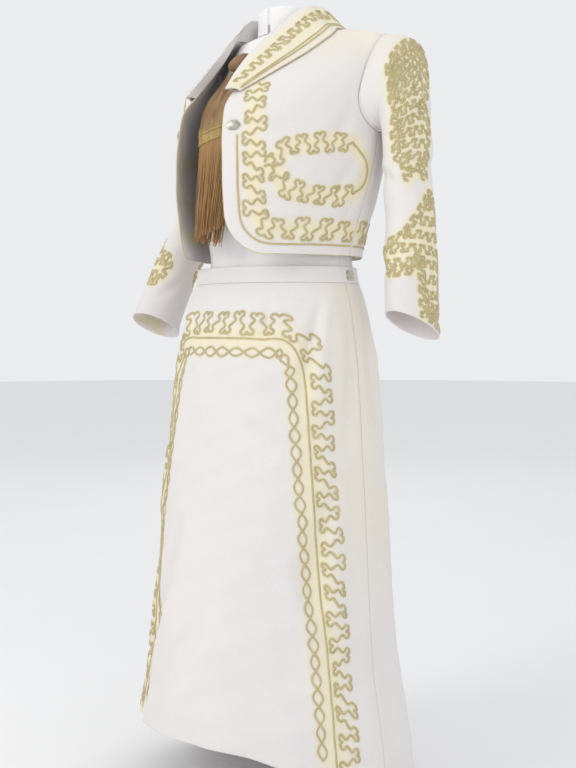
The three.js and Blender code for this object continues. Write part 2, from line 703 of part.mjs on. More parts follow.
// Each tail: sideways place and shift, top and foot height, distance forward of the blouse.
const TIE_TAILS = [
  {
    name: 'front', start: -3, shift: 12, top: -83, foot: -187, forward: 26, slope: 7,
    length: 184, strands: 30, wave: 0,
  },
  {
    name: 'back', start: -3, shift: -3, top: -83.6, foot: -197, forward: 9, slope: -4,
    length: 188, strands: 28, wave: 2,
  },
];
const HEADER_HEIGHT = 24;
const HEADER_GAP = 1;
const HEADER_WALL = 3;
const TAIL_ROWS = [0, 0.2, 0.45, 0.7, 1];
const TAIL_COLUMNS = 10;
const ROOT_DEPTH = HEADER_HEIGHT * 0.8;      // strands start inside the header
const ROOT_INSET = 1.5;
const STRAND_WIDTH = 2.4;
// The fringe hangs free of the chest and to the right, and its strands spread and lie in two layers.
const FRINGE_DRIFT = { x: -6, y: -13, spread: 9, layer: 2.9, layerStep: 3, uneven: 5 };

const tieBack = (z) => BLOUSE_RINGS(z).front;
function tieSurface(tail) {
  return (u, v) => {
    const z = mix(tail.top, tail.foot, v) + tail.slope * u * smooth(v);
    const t = TAIL_SHAPE;
    const width = mix(t.topWidth, t.footWidth, smooth(v * 0.8 + 0.1));
    const pleat = t.pleatDepth * Math.sin(u * t.pleats * Math.PI) * (1 - t.pleatLoss * v);
    const forward = tail.forward * mix(t.nearTop, 1, smooth(1.4 * v)) + t.crown * (1 - u * u);
    return point(tail.start + tail.shift * v + u * width / 2, tieBack(z) - forward + pleat, z);
  };
}

const knotShape = new THREE.SphereGeometry(1, 12, 8);
const knotPoints = knotShape.attributes.position;
for (let k = 0; k < knotPoints.count; k += 1) {
  const p = point(0, 0, 0).fromBufferAttribute(knotPoints, k);
  const groove = 1 - KNOT.grooveDepth * Math.cos(p.x * KNOT.grooves) * (1 - Math.abs(p.z));
  knotPoints.setXYZ(
    k,
    KNOT.middle.x + p.x * KNOT.width / 2,
    KNOT.middle.y + p.y * KNOT.thick / 2 * groove,
    KNOT.middle.z + p.z * KNOT.height / 2 * groove,
  );
}
add('tie_knot', joined([knotShape]), SATIN);

const STRAND_TAPER = 0.25;
function strand(root, length, drift) {
  const ring = (f) => [0, 120, 240].map((angle) => {
    const reach = STRAND_WIDTH / 2 * (1 - STRAND_TAPER * f);
    return point(
      root.x + drift.x * f + reach * Math.cos(angle * DEG),
      root.y + drift.y * f + reach * Math.sin(angle * DEG),
      root.z - length * f,
    );
  });
  const triangles = [[0, 2, 1], [3, 4, 5]];
  for (let side = 0; side < 3; side += 1) {
    const next = (side + 1) % 3;
    triangles.push([side, next, next + 3], [side, next + 3, side + 3]);
  }
  return closedMesh([...ring(0), ...ring(1)], triangles);
}

for (const tail of TIE_TAILS) {
  const surface = tieSurface(tail);
  const satin = new Cloth({
    surface,
    rows: TAIL_ROWS.map((v) => ({ v, from: -1, to: 1 })),
    columns: TAIL_COLUMNS,
    wall: SATIN_WALL,
    turn: -1,
  });
  add(`tie_tail_${tail.name}`, satin.geometry, SATIN);

  const foot = (u) => surface(u, 1);
  const header = new Cloth({
    surface: (u, v) => {
      const p = foot(u);
      p.z -= HEADER_GAP + v * HEADER_HEIGHT;
      return p;
    },
    rows: [0, 1].map((v) => ({ v, from: -1, to: 1 })),
    columns: TAIL_COLUMNS,
    wall: HEADER_WALL,
    turn: -1,
  });
  const strands = Array.from({ length: tail.strands }, (_, k) => {
    const layer = k % 2;
    const u = mix(-0.96, 0.96, (k + 0.5) / tail.strands);
    const root = foot(u);
    root.y += ROOT_INSET;
    root.z -= ROOT_DEPTH;
    const uneven = FRINGE_DRIFT.uneven * Math.sin(k * 2.4 + tail.wave) - layer * FRINGE_DRIFT.layerStep;
    const length = tail.length - ROOT_DEPTH - tail.slope * u / 2 + uneven;
    const drift = {
      x: FRINGE_DRIFT.x - u * FRINGE_DRIFT.spread + 1.4 * Math.sin(k * 1.7),
      y: FRINGE_DRIFT.y + (layer ? -1 : 1) * FRINGE_DRIFT.layer + Math.sin(k * 3.1),
    };
    return strand(root, length, drift);
  });
  add(`tie_fringe_${tail.name}`, joined([header.geometry, ...strands]), FRINGE);
}

// ---------- gold braid on the jacket ----------
// Where each starts, how far in from the front edge and up from the hem it runs, and its corner.
const FRONT_LINE = { top: -214, inset: 26, topInset: 26, rise: 16, radius: 46 };
const FRONT_ROW = { top: -122, inset: 53, topInset: 38, rise: 40, radius: 28 };
const ROW_REACH = 16;
const ROW_PITCH = 27;
const HEM_DIRECTIONS = [66, 77, 88.6];       // where the hem stretch of a border is set out

// The line that runs down beside a front edge, round the corner and along the hem.
function borderTrail(cloth, hand, { top, inset, topInset, rise, radius }) {
  const base = JACKET_HEM + rise;
  const place = (across, z) => [angleFromEdge(hand, across, z), z];
  const points = [0, 0.25, 0.5, 0.75].map((share) => (
    place(mix(topInset, inset, smooth(4 * share)), mix(top, base + radius, share))));
  for (let turn = 0; turn <= 90; turn += 22.5) {
    const across = inset + radius * (1 - Math.cos(turn * DEG));
    points.push(place(across, base + radius * (1 - Math.sin(turn * DEG))));
  }
  points.push(...HEM_DIRECTIONS.map((angle) => [hand * angle, base]));
  return new Trail(cloth, points);
}

const LINE_STEPS = { front: 30, back: 36, collar: 30, skirt: 52 };
const CHEST_ROW = { pitch: 27, reach: 15 };
const CHEST_POINTS = [
  [42, -250], [47, -234], [57, -228], [67, -223], [75, -224], [81.5, -240], [85.5, -260],
  [86.5, -280], [84.5, -298], [78, -309], [69, -313], [54, -308], [45, -295], [42, -274],
];
const CHEST_TURN = [0.34, 0.6];    // share of the path that is a plain line round the end

for (const [side, hand, cloth] of [['left', 1, jacketLeft], ['right', -1, jacketRight]]) {
  const line = borderTrail(cloth, hand, FRONT_LINE);
  const row = borderTrail(cloth, hand, FRONT_ROW);
  add(`jacket_line_${side}`, braid(line, straight(0, line.length, LINE_STEPS.front, 0)), GOLD_BRAID);
  add(`jacket_serpentine_${side}`, braid(row, serpentine({
    from: 2, to: row.length - 2, pitch: ROW_PITCH, reach: ROW_REACH * hand, aside: 0,
  })), GOLD_BRAID);
  const chest = new Trail(cloth, CHEST_POINTS.map(([angle, z]) => [hand * angle, z]));
  add(`chest_braid_${side}`, braid(chest, serpentine({
    from: 2, to: chest.length - 2, pitch: CHEST_ROW.pitch, reach: CHEST_ROW.reach * hand, aside: 0,
    ease: (f) => (f > CHEST_TURN[0] && f < CHEST_TURN[1] ? 0 : 1),
  })), GOLD_BRAID);
}
const BACK_DIRECTIONS = [91.4, 120, 150, 180, 210, 240, 268.6];
const acrossBack = (rise) => (
  new Trail(jacketBack, BACK_DIRECTIONS.map((angle) => [angle, JACKET_HEM + rise])));
const backLine = acrossBack(FRONT_LINE.rise);
const backRow = acrossBack(FRONT_ROW.rise);
add('jacket_line_back', braid(backLine, straight(0, backLine.length, LINE_STEPS.back, 0)), GOLD_BRAID);
add('jacket_serpentine_back', braid(backRow, serpentine({
  from: 2, to: backRow.length - 2, pitch: ROW_PITCH, reach: ROW_REACH, aside: 0,
})), GOLD_BRAID);

// ---------- gold braid on the collar ----------
const COLLAR_ROW_AT = 0.66;        // shares of the way from the neck seam to the outer edge
const COLLAR_LINE_AT = 0.9;
const COLLAR_BRAID = {
  width: 3.4, pitch: 22, reach: 8, rowEnd: 0.9, lineEnd: 0.94, start: 0.02, points: 12,
};
const collarEase = (f) => 1 - 0.55 * smooth((f - 0.6) / 0.4);    // the collar narrows to its end
for (const [side, hand, cloth] of [['left', 1, collarLeft], ['right', -1, collarRight]]) {
  const { width, pitch, reach, rowEnd, lineEnd, start, points } = COLLAR_BRAID;
  const along = (share, end) => new Trail(cloth, Array.from({ length: points }, (_, k) => (
    [share, mix(start, end, k / (points - 1))])));
  const row = along(COLLAR_ROW_AT, rowEnd);
  const line = along(COLLAR_LINE_AT, lineEnd);
  add(`collar_serpentine_${side}`, braid(row, serpentine({
    from: 3, to: row.length, pitch, reach: reach * hand, aside: 0, ease: collarEase,
  }), width), GOLD_BRAID);
  const lineSteps = straight(0, line.length, LINE_STEPS.collar, 0);
  add(`collar_line_${side}`, braid(line, lineSteps, width), GOLD_BRAID);
}

// ---------- gold braid on the sleeves ----------
// Each figure is one serpentine cord round the outline of half a figure, mirrored on the other side
// of the sleeve's outer line: degrees from that line and share of the way down.
const SHOULDER_FIGURE = {
  angle: 20, from: 2.2, to: 6.8, reach: 6, pitch: 44,
  outline: [
    [22, 1], [26, 0.86], [40, 0.78], [42, 0.6], [32, 0.5], [40, 0.3], [37, 0.12], [20, 0.03], [0, 0],
  ],
};
const FOREARM_FIGURE = {
  angle: -10, from: 7.1, to: 10.8, reach: 5, pitch: 60,
  outline: [
    [34, 1], [34, 0.6], [56, 0.53], [120, 0.53], [132, 0.42],
    [118, 0.33], [76, 0.28], [46, 0.18], [16, 0.06], [0, 0],
  ],
};
const SLEEVE_BRAID_LIFT = 2.1;     // the sleeve rounds away more sharply under the cord
function sleeveFigure(cloth, { angle, from, to, reach, pitch, outline }) {
  const half = outline.map(([away, share]) => [away, mix(from, to, share)]);
  const points = [
    ...half.map(([away, row]) => [angle - away, row]),
    ...half.slice(0, -1).reverse().map(([away, row]) => [angle + away, row]),
  ];
  const trail = new Trail(cloth, points);
  const steps = serpentine({ from: 0, to: trail.length, pitch, reach, aside: 0 });
  return braid(trail, steps, BRAID_WIDTH, SLEEVE_BRAID_LIFT);
}
for (const [side, cloth] of [['left', sleeveLeft], ['right', sleeveRight]]) {
  add(`shoulder_braid_${side}`, sleeveFigure(cloth, SHOULDER_FIGURE), GOLD_BRAID);
  add(`forearm_braid_${side}`, sleeveFigure(cloth, FOREARM_FIGURE), GOLD_BRAID);
}

// ---------- arch border on the skirt front ----------
const ARCH_MIDDLE = 10;            // the skirt sits turned this far round the waist, in degrees
const ARCH = [                     // half angle from the arch's middle, share of the way down
  [57.8, 0.992], [57, 0.883], [55.5, 0.767], [53, 0.654], [51.5, 0.571], [48.5, 0.433],
  [46.5, 0.317], [45, 0.217], [41, 0.158], [34.5, 0.129], [21, 0.125],
];
const ARCH_ROW = { aside: 26, reach: 16.5, pitch: 31 };
const ARCH_CHAIN = { start: 20, aside: -23.5, wide: 18, narrow: 4, pitch: 28, steps: 2 };
const archSide = (hand) => ARCH.map(([half, down]) => [ARCH_MIDDLE + hand * half, down]);
const arch = new Trail(skirtFront, [
  ...archSide(-1),
  [ARCH_MIDDLE, ARCH[ARCH.length - 1][1]],
  ...archSide(1).reverse(),
]);
const ARCH_START = 4;              // millimetres from the hem
const archEnd = arch.length - ARCH_START;
add('skirt_line', braid(arch, straight(ARCH_START, archEnd, LINE_STEPS.skirt, 0)), GOLD_BRAID);
const archRow = serpentine({ from: ARCH_START, to: archEnd, ...ARCH_ROW });
add('skirt_serpentine', braid(arch, archRow), GOLD_BRAID);
const chainSteps = [];
const ovals = Math.round((arch.length - 2 * ARCH_CHAIN.start) / ARCH_CHAIN.pitch);
for (let k = 0; k <= ovals * ARCH_CHAIN.steps; k += 1) {
  const f = k / ARCH_CHAIN.steps;
  const width = k % ARCH_CHAIN.steps ? ARCH_CHAIN.wide : ARCH_CHAIN.narrow;
  const length = mix(ARCH_CHAIN.start, arch.length - ARCH_CHAIN.start, f / ovals);
  chainSteps.push([length, ARCH_CHAIN.aside, width]);
}
add('skirt_chain', braid(arch, chainSteps), GOLD_BRAID);

// ---------- clasps and waist hook ----------
// A thin plate that follows the cloth below it; share(f) is its width from end to end.
const PLATE_ROWS = 7;
const PLATE_COLUMNS = 4;
const PLATE_CROWN = 0.6;           // how much thicker its middle is than its edge
function plate(cloth, [u, v], { width, height, thick, lift }, share) {
  const { alongU, alongV } = cloth.metric(u, v);
  const level = (up) => Array.from({ length: PLATE_ROWS }, (_, j) => {
    const f = mix(-1, 1, j / (PLATE_ROWS - 1));
    const reach = width / 2 * share(f);
    const atV = v + f * height / 2 / alongV.length();
    return Array.from({ length: PLATE_COLUMNS }, (__, i) => {
      const x = mix(-reach, reach, i / (PLATE_COLUMNS - 1));
      const crown = up ? 1 + PLATE_CROWN * (1 - f * f) * (1 - (x / reach) ** 2) : 0;
      return cloth.above(u + x / alongU.length(), atV, lift + thick * crown);
    });
  });
  return wallBetween(level(1), level(0), false);
}
const CLASP = { width: 28, height: 24, thick: 2.2, lift: 0.8 };
const CLASP_AT = { inset: 19, z: -198 };
const WAIST_HOOK = { width: 24, height: 17, thick: 1.6, lift: 0.6 };
const WAIST_HOOK_AT = [98, (WAIST_TOP + WAIST_BOTTOM) / 2];
const claspShare = (f) => 0.25 + 0.75 * Math.sqrt(1 - f * f) * (1 - 0.25 * Math.cos(3 * f * Math.PI) ** 2);

for (const [side, hand, cloth] of [['left', 1, jacketLeft], ['right', -1, jacketRight]]) {
  const angle = angleFromEdge(hand, CLASP_AT.inset, CLASP_AT.z);
  add(`clasp_${side}`, plate(cloth, [angle, CLASP_AT.z], CLASP, claspShare), SILVER);
}
add('waist_hook', plate(waistband, WAIST_HOOK_AT, WAIST_HOOK, () => 1), SILVER);

export default suit;
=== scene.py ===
"""Mariachi suit, women's cut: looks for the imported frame, laid out as an add-on.

Lengths in the tables are millimetres, as a maker measures them, and a mesh gets metres.
The wearer faces -Y, +X is the wearer's left, and heights run from the neck seam.
"""
import math

import bpy
import numpy as np
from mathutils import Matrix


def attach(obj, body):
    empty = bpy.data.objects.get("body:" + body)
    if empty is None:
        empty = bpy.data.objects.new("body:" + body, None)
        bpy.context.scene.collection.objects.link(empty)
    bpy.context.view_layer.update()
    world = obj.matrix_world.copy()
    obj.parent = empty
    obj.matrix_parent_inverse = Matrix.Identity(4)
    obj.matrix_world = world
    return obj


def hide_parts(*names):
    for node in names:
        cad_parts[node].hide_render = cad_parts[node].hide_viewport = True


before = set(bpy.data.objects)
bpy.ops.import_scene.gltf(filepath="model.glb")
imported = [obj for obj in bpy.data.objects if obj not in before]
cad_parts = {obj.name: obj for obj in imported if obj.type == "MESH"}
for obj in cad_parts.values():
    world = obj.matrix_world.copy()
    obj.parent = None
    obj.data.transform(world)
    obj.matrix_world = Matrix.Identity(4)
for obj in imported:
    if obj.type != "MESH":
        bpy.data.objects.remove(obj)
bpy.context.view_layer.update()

MM = 0.001

bl_info = {
    "name": "Mariachi Suit",
    "version": (1, 0, 0),
    "blender": (4, 5, 0),
    "location": "View3D > Sidebar > Mariachi Suit",
    "description": "Cloth, braid, bow tie and fastenings of a mariachi suit, with its stage",
    "category": "Object",
}


# ---------- measures ----------
def table(*rows):
    """Smooth curves through rows of measures; the first column says where each row lies."""
    data = np.array(rows, float)
    sign = math.copysign(1, data[1, 0] - data[0, 0])
    key = data[:, 0] * sign
    values = data[:, 1:]
    slope = np.empty_like(values)
    slope[1:-1] = (values[2:] - values[:-2]) / (key[2:] - key[:-2])[:, None]
    slope[0] = (values[1] - values[0]) / (key[1] - key[0])
    slope[-1] = (values[-1] - values[-2]) / (key[-1] - key[-2])

    def look(at):
        x = np.clip(np.asarray(at, float) * sign, key[0], key[-1])
        k = np.clip(np.searchsorted(key, x, side="left") - 1, 0, len(key) - 2)
        span = key[k + 1] - key[k]
        f = ((x - key[k]) / span)[..., None]
        bend = f * (1 - f) * ((1 - f) * slope[k] - f * slope[k + 1])
        result = values[k] + (values[k + 1] - values[k]) * f * f * (3 - 2 * f) + span[..., None] * bend
        return np.moveaxis(result, -1, 0)
    return look


JACKET_RINGS = table(      # height, half width, side line, front, back
    [0, 78, 45, -30, 105], [-2, 86, 45, -33, 112], [-7, 125, 48, -41, 125],
    [-15, 170, 52, -52, 136], [-24, 196, 55, -62, 142], [-33, 207, 57, -71, 146],
    [-60, 215, 58, -93, 151], [-90, 215, 56, -120, 154], [-120, 212, 52, -148, 154],
    [-150, 209, 46, -175, 152], [-170, 208, 42, -187, 150], [-215, 206, 32, -196, 146],
    [-260, 203, 24, -198, 140], [-300, 196, 16, -198, 134], [-340, 186, 10, -195, 128],
    [-380, 174, 6, -190, 126], [-408, 168, 4, -188, 128])
FRONT_EDGE = table([0, 76], [-12, 64], [-30, 51], [-59, 46], [-96, 46], [-150, 50], [-250, 56], [-408, 56])
BLOUSE_RINGS = table(
    [-2, 64, 45, -18, 100], [-4.6, 84, 45, -22, 106], [-9.6, 123.8, 48, -29, 117],
    [-17.6, 168.4, 52, -37, 126], [-27, 186, 54, -45, 131], [-40, 193, 55, -54, 134],
    [-56, 196, 56, -65, 138], [-90, 192, 56, -86, 141], [-140, 176, 48, -116, 140],
    [-215, 168, 34, -138, 132], [-300, 160, 18, -140, 118], [-360, 154, 8, -132, 112],
    [-405, 152, 2, -120, 116], [-426, 154.2, 0, -120.2, 120.2], [-450, 157.4, 0, -124.4, 124.4])
SKIRT_RINGS = table(       # height, half width, half depth, middle
    [-426, 158, 124, 0], [-454, 162, 129, 0], [-480, 171, 140, 0], [-540, 182, 156, 0],
    [-600, 190, 167, 0], [-826, 208, 189, -4], [-1093, 226, 212, -12], [-1230, 248, 233, -15],
    [-1350, 260, 246, -18])
SKIRT_FOLDS = (            # direction, half width in degrees, depth at the hem, where it starts
    (-74, 17, 15, .26), (-40, 17, -13, .40), (-6, 18, 9, .50), (32, 19, -10, .46), (88, 15, 9, .36),
    (112, 17, 12, .26), (148, 15, 11, .38), (183, 19, 15, .22), (221, 15, 11, .40), (254, 16, 13, .28))
SLEEVE_ROWS = table(       # row, outer x and z, inner x and z, middle y, half depth, rake
    [0, 207, -30, 207, -194, 54, 66, 0], [1, 236, -34, 211, -200, 57, 67, 0],
    [2, 259, -46, 214, -206, 60, 64, 0], [3, 270, -74, 216, -215, 61, 61, 0],
    [4, 273, -120, 217, -228, 61, 58, 0], [5, 277, -176, 218, -246, 60, 56, 0],
    [6, 284, -238, 219, -276, 57, 54, 0], [7, 292, -300, 221, -320, 52, 52, 0],
    [8, 302, -370, 226, -376, 45, 50, 0], [9, 312, -440, 232, -440, 37, 50, 6],
    [10, 319, -500, 238, -496, 29, 51, 16], [11, 323, -530, 242, -524, 26, 52, 24])
RIGHT_SLEEVE_SWING = table([-40, 0], [-290, 4], [-370, 25], [-430, 45], [-530, 72])
SLEEVE_CREASES = (         # row, direction, reach in rows, reach in degrees, depth
    (5.2, 60, .9, 80, 3.2), (6.4, -40, .7, 70, 2.6), (7.6, 110, .8, 90, 3.4), (9.3, 20, .6, 75, 2.2))
COLLAR_ROWS = (            # seam direction, seam height, roll, direction and height of the outer edge
    (180, -1.5, (0, 103, 36), 180, -6), (153, -1.5, (31, 95, 37), 153, -6),
    (124, -1.5, (53, 76, 40), 124, -6), (97, -1.5, (72, 48, 44), 97, -6),
    (None, -3, (69, 16, 43), 76, -8), (None, -9, (61, -9, 31), 61, -17),
    (None, -20, (51, -40, 4), 51, -32), (None, -38, (44, -78, -30), 43, -52),
    (None, -66, (41, -113, -64), 33, -84), (None, -100, (41, -145, -99), 25, -113),
    (None, -139, (48, -180, -140), 16.5, -144))

JACKET_TOP, JACKET_HEM, CORNER_RADIUS = -2, -408, 65
COLLARBONE_FLAT, LEFT_FLAT, RIGHT_FLAT, CHEST_HEIGHT, FLAT_UNTIL = .95, .15, .7, -125, 70
ARMHOLE_MIDDLE, ARMHOLE_HALF, ARMHOLE_FRONT, ARMHOLE_BACK, ARMHOLE_LIFT = -112, 82, 17, 24, 2.7
BLOUSE_ARMHOLE_GROWTH = 4
SEAM_HALF_ANGLE, SKIRT_SEAM_HALF_ANGLE = .13, .09
WAIST_TOP, WAIST_BOTTOM, SKIRT_TOP = -426, -454, -454.3
HEM_MIDDLE, HEM_TILT = -1276, 73
COLLAR_ROLL_AT, COLLAR_LIFT, COLLAR_PUFF, STAND_INSET, COLLAR_WALL = .36, 1.1, 4, 1.5, 2.4
COLLAR_ENDS = (.002, .985)
NECK_MIDDLE_Y = 45


# ---------- small helpers ----------
def mix(a, b, f):
    return a + (b - a) * f


def smooth(f):
    f = np.clip(f, 0, 1)
    return f * f * (3 - 2 * f)


def bump(f):
    return np.where(np.abs(f) < 1, np.cos(np.clip(f, -1, 1) * math.pi / 2) ** 2, 0)


def turn_to(angle, other):
    return np.mod(angle - other + 540, 360) - 180


def place(x, y, z):
    return np.stack(np.broadcast_arrays(x, y, z), axis=-1).astype(float)


def unit(vectors):
    return vectors / np.maximum(np.linalg.norm(vectors, axis=-1, keepdims=True), 1e-9)


def arcs(points, axis):
    """Length from the first point along one axis of a grid of points."""
    step = np.linalg.norm(np.diff(points, axis=axis), axis=-1)
    pad = [(0, 0)] * step.ndim
    pad[axis] = (1, 0)
    return np.cumsum(np.pad(step, pad), axis=axis)


def spline(points):
    """A centripetal curve through points, as a function of its share from 0 to 1."""
    p = np.array(points, float)
    p = np.vstack([2 * p[0] - p[1], p, 2 * p[-1] - p[-2]])
    last = len(points) - 1

    def at(share):
        t = np.clip(np.asarray(share, float), 0, 1) * last
        k = np.minimum(t.astype(int), last - 1)
        f = (t - k)[..., None]
        a, b, c, d = p[k], p[k + 1], p[k + 2], p[k + 3]
        before, here, after = (
            np.maximum(np.sqrt(np.linalg.norm(q - r, axis=-1)), 1e-4)[..., None]
            for q, r in ((a, b), (b, c), (c, d)))
        start = ((b - a) / before - (c - a) / (before + here) + (c - b) / here) * here
        end = ((c - b) / here - (d - b) / (here + after) + (d - c) / after) * here
        square, cube = -3 * b + 3 * c - 2 * start - end, 2 * b - 2 * c + start + end
        return b + start * f + square * f ** 2 + cube * f ** 3
    return at


# ---------- forms of the cloth ----------
def ring_point(ring, angle, z):
    half, side, front, back = ring
    s, c = np.sin(np.radians(angle)), np.cos(np.radians(angle))
    return place(half * s, side - np.where(c > 0, side - front, back - side) * c, z)


def bodice(rings, angle, z):
    """A ring of the jacket or blouse, flattened between the front edge and the side."""
    angle, z = np.broadcast_arrays(np.asarray(angle, float), np.asarray(z, float))
    ring = rings(z)
    p = ring_point(ring, angle, z)
    turn = turn_to(angle, 0)
    edge = np.degrees(np.arcsin(np.minimum(FRONT_EDGE(z)[0] / ring[0], 1)))
    hand = np.where(turn < 0, -1, 1)
    share = ((np.abs(turn) - edge) / np.maximum(90 - edge, 1e-6))[..., None]
    chord = mix(ring_point(ring, hand * edge, z), ring_point(ring, hand * 90, z), share)
    chest = np.where(hand < 0, RIGHT_FLAT, LEFT_FLAT)
    flat = mix(COLLARBONE_FLAT, chest, smooth(z / CHEST_HEIGHT))
    flat = flat * (1 - smooth((np.abs(turn) - FLAT_UNTIL) / (90 - FLAT_UNTIL)))
    flat = np.where((np.abs(turn) > 90) | (np.abs(turn) < edge), 0, flat)
    return mix(p, chord, flat[..., None])


def jacket_form(angle, z):
    return bodice(JACKET_RINGS, angle, z)


def blouse_form(angle, z):
    return bodice(BLOUSE_RINGS, angle, z)


def armhole_share(z):
    f = (z - ARMHOLE_MIDDLE) / ARMHOLE_HALF
    return np.sqrt(np.clip(1 - f * f, 0, 1))


def angle_from_edge(hand, across, z):
    """The direction that lies this far along the cloth from the straight front edge."""
    z = np.asarray(z, float)
    angle = np.degrees(np.arcsin(FRONT_EDGE(z)[0] / JACKET_RINGS(z)[0]))
    steps = 8
    for _ in range(steps):
        step = jacket_form(hand * (angle + 1), z) - jacket_form(hand * angle, z)
        angle = angle + across / steps / np.linalg.norm(step, axis=-1)
    return hand * angle


def front_edge_angle(hand, z):
    rise = np.minimum(z - (JACKET_HEM + CORNER_RADIUS), 0)
    corner = CORNER_RADIUS - np.sqrt(np.maximum(CORNER_RADIUS ** 2 - rise ** 2, 0))
    return angle_from_edge(hand, corner, z)


def slopes(form, u, v, du, dv):
    along_u = (form(u + du, v) - form(u - du, v)) / (2 * du)
    along_v = (form(u, v + dv) - form(u, v - dv)) / (2 * dv)
    return along_u, along_v


def jacket_normal(angle, z):
    return unit(np.cross(*slopes(jacket_form, angle, z, .1, .45)))


def sleeve_form(hand):
    def form(angle, v):
        outer_x, outer_z, inner_x, inner_z, middle_y, half_deep, rake = SLEEVE_ROWS(v)
        s, c = np.sin(np.radians(angle)), np.cos(np.radians(angle))
        crease = sum(
            depth * bump((v - row) / rows) * bump(turn_to(angle, way) / reach)
            for row, way, rows, reach, depth in SLEEVE_CREASES)
        scale = 1 - crease / half_deep
        x = (outer_x + inner_x) / 2 + (outer_x - inner_x) / 2 * c * scale
        z = (outer_z + inner_z) / 2 + (outer_z - inner_z) / 2 * c * scale + s * rake
        y = middle_y - s * half_deep * scale
        if hand < 0:
            y = y - RIGHT_SLEEVE_SWING(z)[0]
        around = hand * (90 - np.where(s > 0, ARMHOLE_FRONT, ARMHOLE_BACK) * s)
        height = ARMHOLE_MIDDLE + ARMHOLE_HALF * c
        hole = jacket_form(around, height) + jacket_normal(around, height) * ARMHOLE_LIFT
        return mix(place(hand * x, y, z), hole, (1 - smooth(v / 1.6))[..., None])
    return form


def collar_form(hand):
    ends = [(abs(float(front_edge_angle(hand, z))) if seam is None else seam, z)
            for seam, z, *_ in COLLAR_ROWS]
    seam = spline(ends)
    roll = spline([(hand * x, y, z) for _, _, (x, y, z), *_ in COLLAR_ROWS])
    lie = spline([row[3:] for row in COLLAR_ROWS])

    def form(across, along):
        across, along = np.broadcast_arrays(np.asarray(across, float), np.asarray(along, float))
        start, end, fold = seam(along), lie(along), roll(along)
        foot = jacket_form(hand * start[..., 0], start[..., 1])
        inward = unit(place(-foot[..., 0], np.minimum(NECK_MIDDLE_Y - foot[..., 1], 0), 0))
        stand = mix(foot + inward * (STAND_INSET + COLLAR_WALL), fold, (across / COLLAR_ROLL_AT)[..., None])
        f = np.clip((across - COLLAR_ROLL_AT) / (1 - COLLAR_ROLL_AT), 0, 1)

        def base(share):
            angle = hand * mix(start[..., 0], end[..., 0], share)
            z = mix(start[..., 1], end[..., 1], share)
            return jacket_form(angle, z) + jacket_normal(angle, z) * (COLLAR_LIFT + COLLAR_WALL)
        puff = jacket_normal(hand * end[..., 0], end[..., 1]) * (COLLAR_PUFF * 4 * f * (1 - f))[..., None]
        fall = base(f) + (fold - base(0)) * ((1 - f) ** 2 * (1 + f))[..., None] + puff
        return np.where((across < COLLAR_ROLL_AT)[..., None], stand, fall)
    return form


def skirt_hem(angle):
    return HEM_MIDDLE + HEM_TILT * np.cos(np.radians(angle))


def skirt_form(angle, down):
    z = mix(SKIRT_TOP, skirt_hem(angle), down)
    half, deep, middle = SKIRT_RINGS(z)
    fold = sum(
        depth * smooth((down - start) / (1 - start)) * bump(turn_to(angle, way) / reach)
        for way, reach, depth, start in SKIRT_FOLDS)
    s, c = np.sin(np.radians(angle)), np.cos(np.radians(angle))
    return place((half + fold) * s, middle - (deep + fold) * c, z)


def waist_form(angle, z):
    half, deep, _ = SKIRT_RINGS(z)
    return place(half * np.sin(np.radians(angle)), -deep * np.cos(np.radians(angle)), z)


BLOUSE_COLLAR = dict(foot=-1.5, front=44, back=34, half=63, side=42, deep_front=61, deep_back=56,
                     lean=4, wall=1.8, opening=3)


def blouse_collar_form(angle, up):
    b = BLOUSE_COLLAR
    s, c = np.sin(np.radians(angle)), np.cos(np.radians(angle))
    shrink = b["lean"] * up
    deep = np.where(c > 0, b["deep_front"], b["deep_back"]) - shrink
    top = mix(b["back"], b["front"], (1 + c) / 2)
    return place((b["half"] - shrink) * s, b["side"] - deep * c - shrink, mix(b["foot"], top, up))


KNOT = dict(middle=(-4, -86.5, -67), width=60, height=30, thick=24)
TAIL = dict(top_width=66, foot_width=84, pleats=4, pleat_depth=3, pleat_loss=.55, crown=6, near_top=.25)
TAILS = (
    dict(name="front", start=-3, shift=12, top=-83, foot=-187, forward=26, slope=7, length=184, wave=0),
    dict(name="back", start=-3, shift=-3, top=-83.6, foot=-197, forward=9, slope=-4, length=188, wave=2),
)
HEADER_HEIGHT, HEADER_GAP, HEADER_WALL = 24, 1, 3


def tail_form(tail):
    def form(u, v):
        t = TAIL
        z = mix(tail["top"], tail["foot"], v) + tail["slope"] * u * smooth(v)
        width = mix(t["top_width"], t["foot_width"], smooth(v * .8 + .1))
        pleat = t["pleat_depth"] * np.sin(u * t["pleats"] * math.pi) * (1 - t["pleat_loss"] * v)
        forward = tail["forward"] * mix(t["near_top"], 1, smooth(1.4 * v)) + t["crown"] * (1 - u * u)
        return place(tail["start"] + tail["shift"] * v + u * width / 2, BLOUSE_RINGS(z)[2] - forward + pleat, z)
    return form


# ---------- creases ----------
def wander(x, y, seed):
    """A slow uneven swell from about -1 to 1, so that no cloth lies perfectly even."""
    total = 0
    for k in range(6):
        way = 1.9 * seed + 2.4 * k
        length = 46 + 31 * k + 9 * math.sin(seed * 3.3 + k)
        total = total + np.sin((x * math.cos(way) + y * math.sin(way)) * 2 * math.pi / length + way * 5)
    return total / 3.4


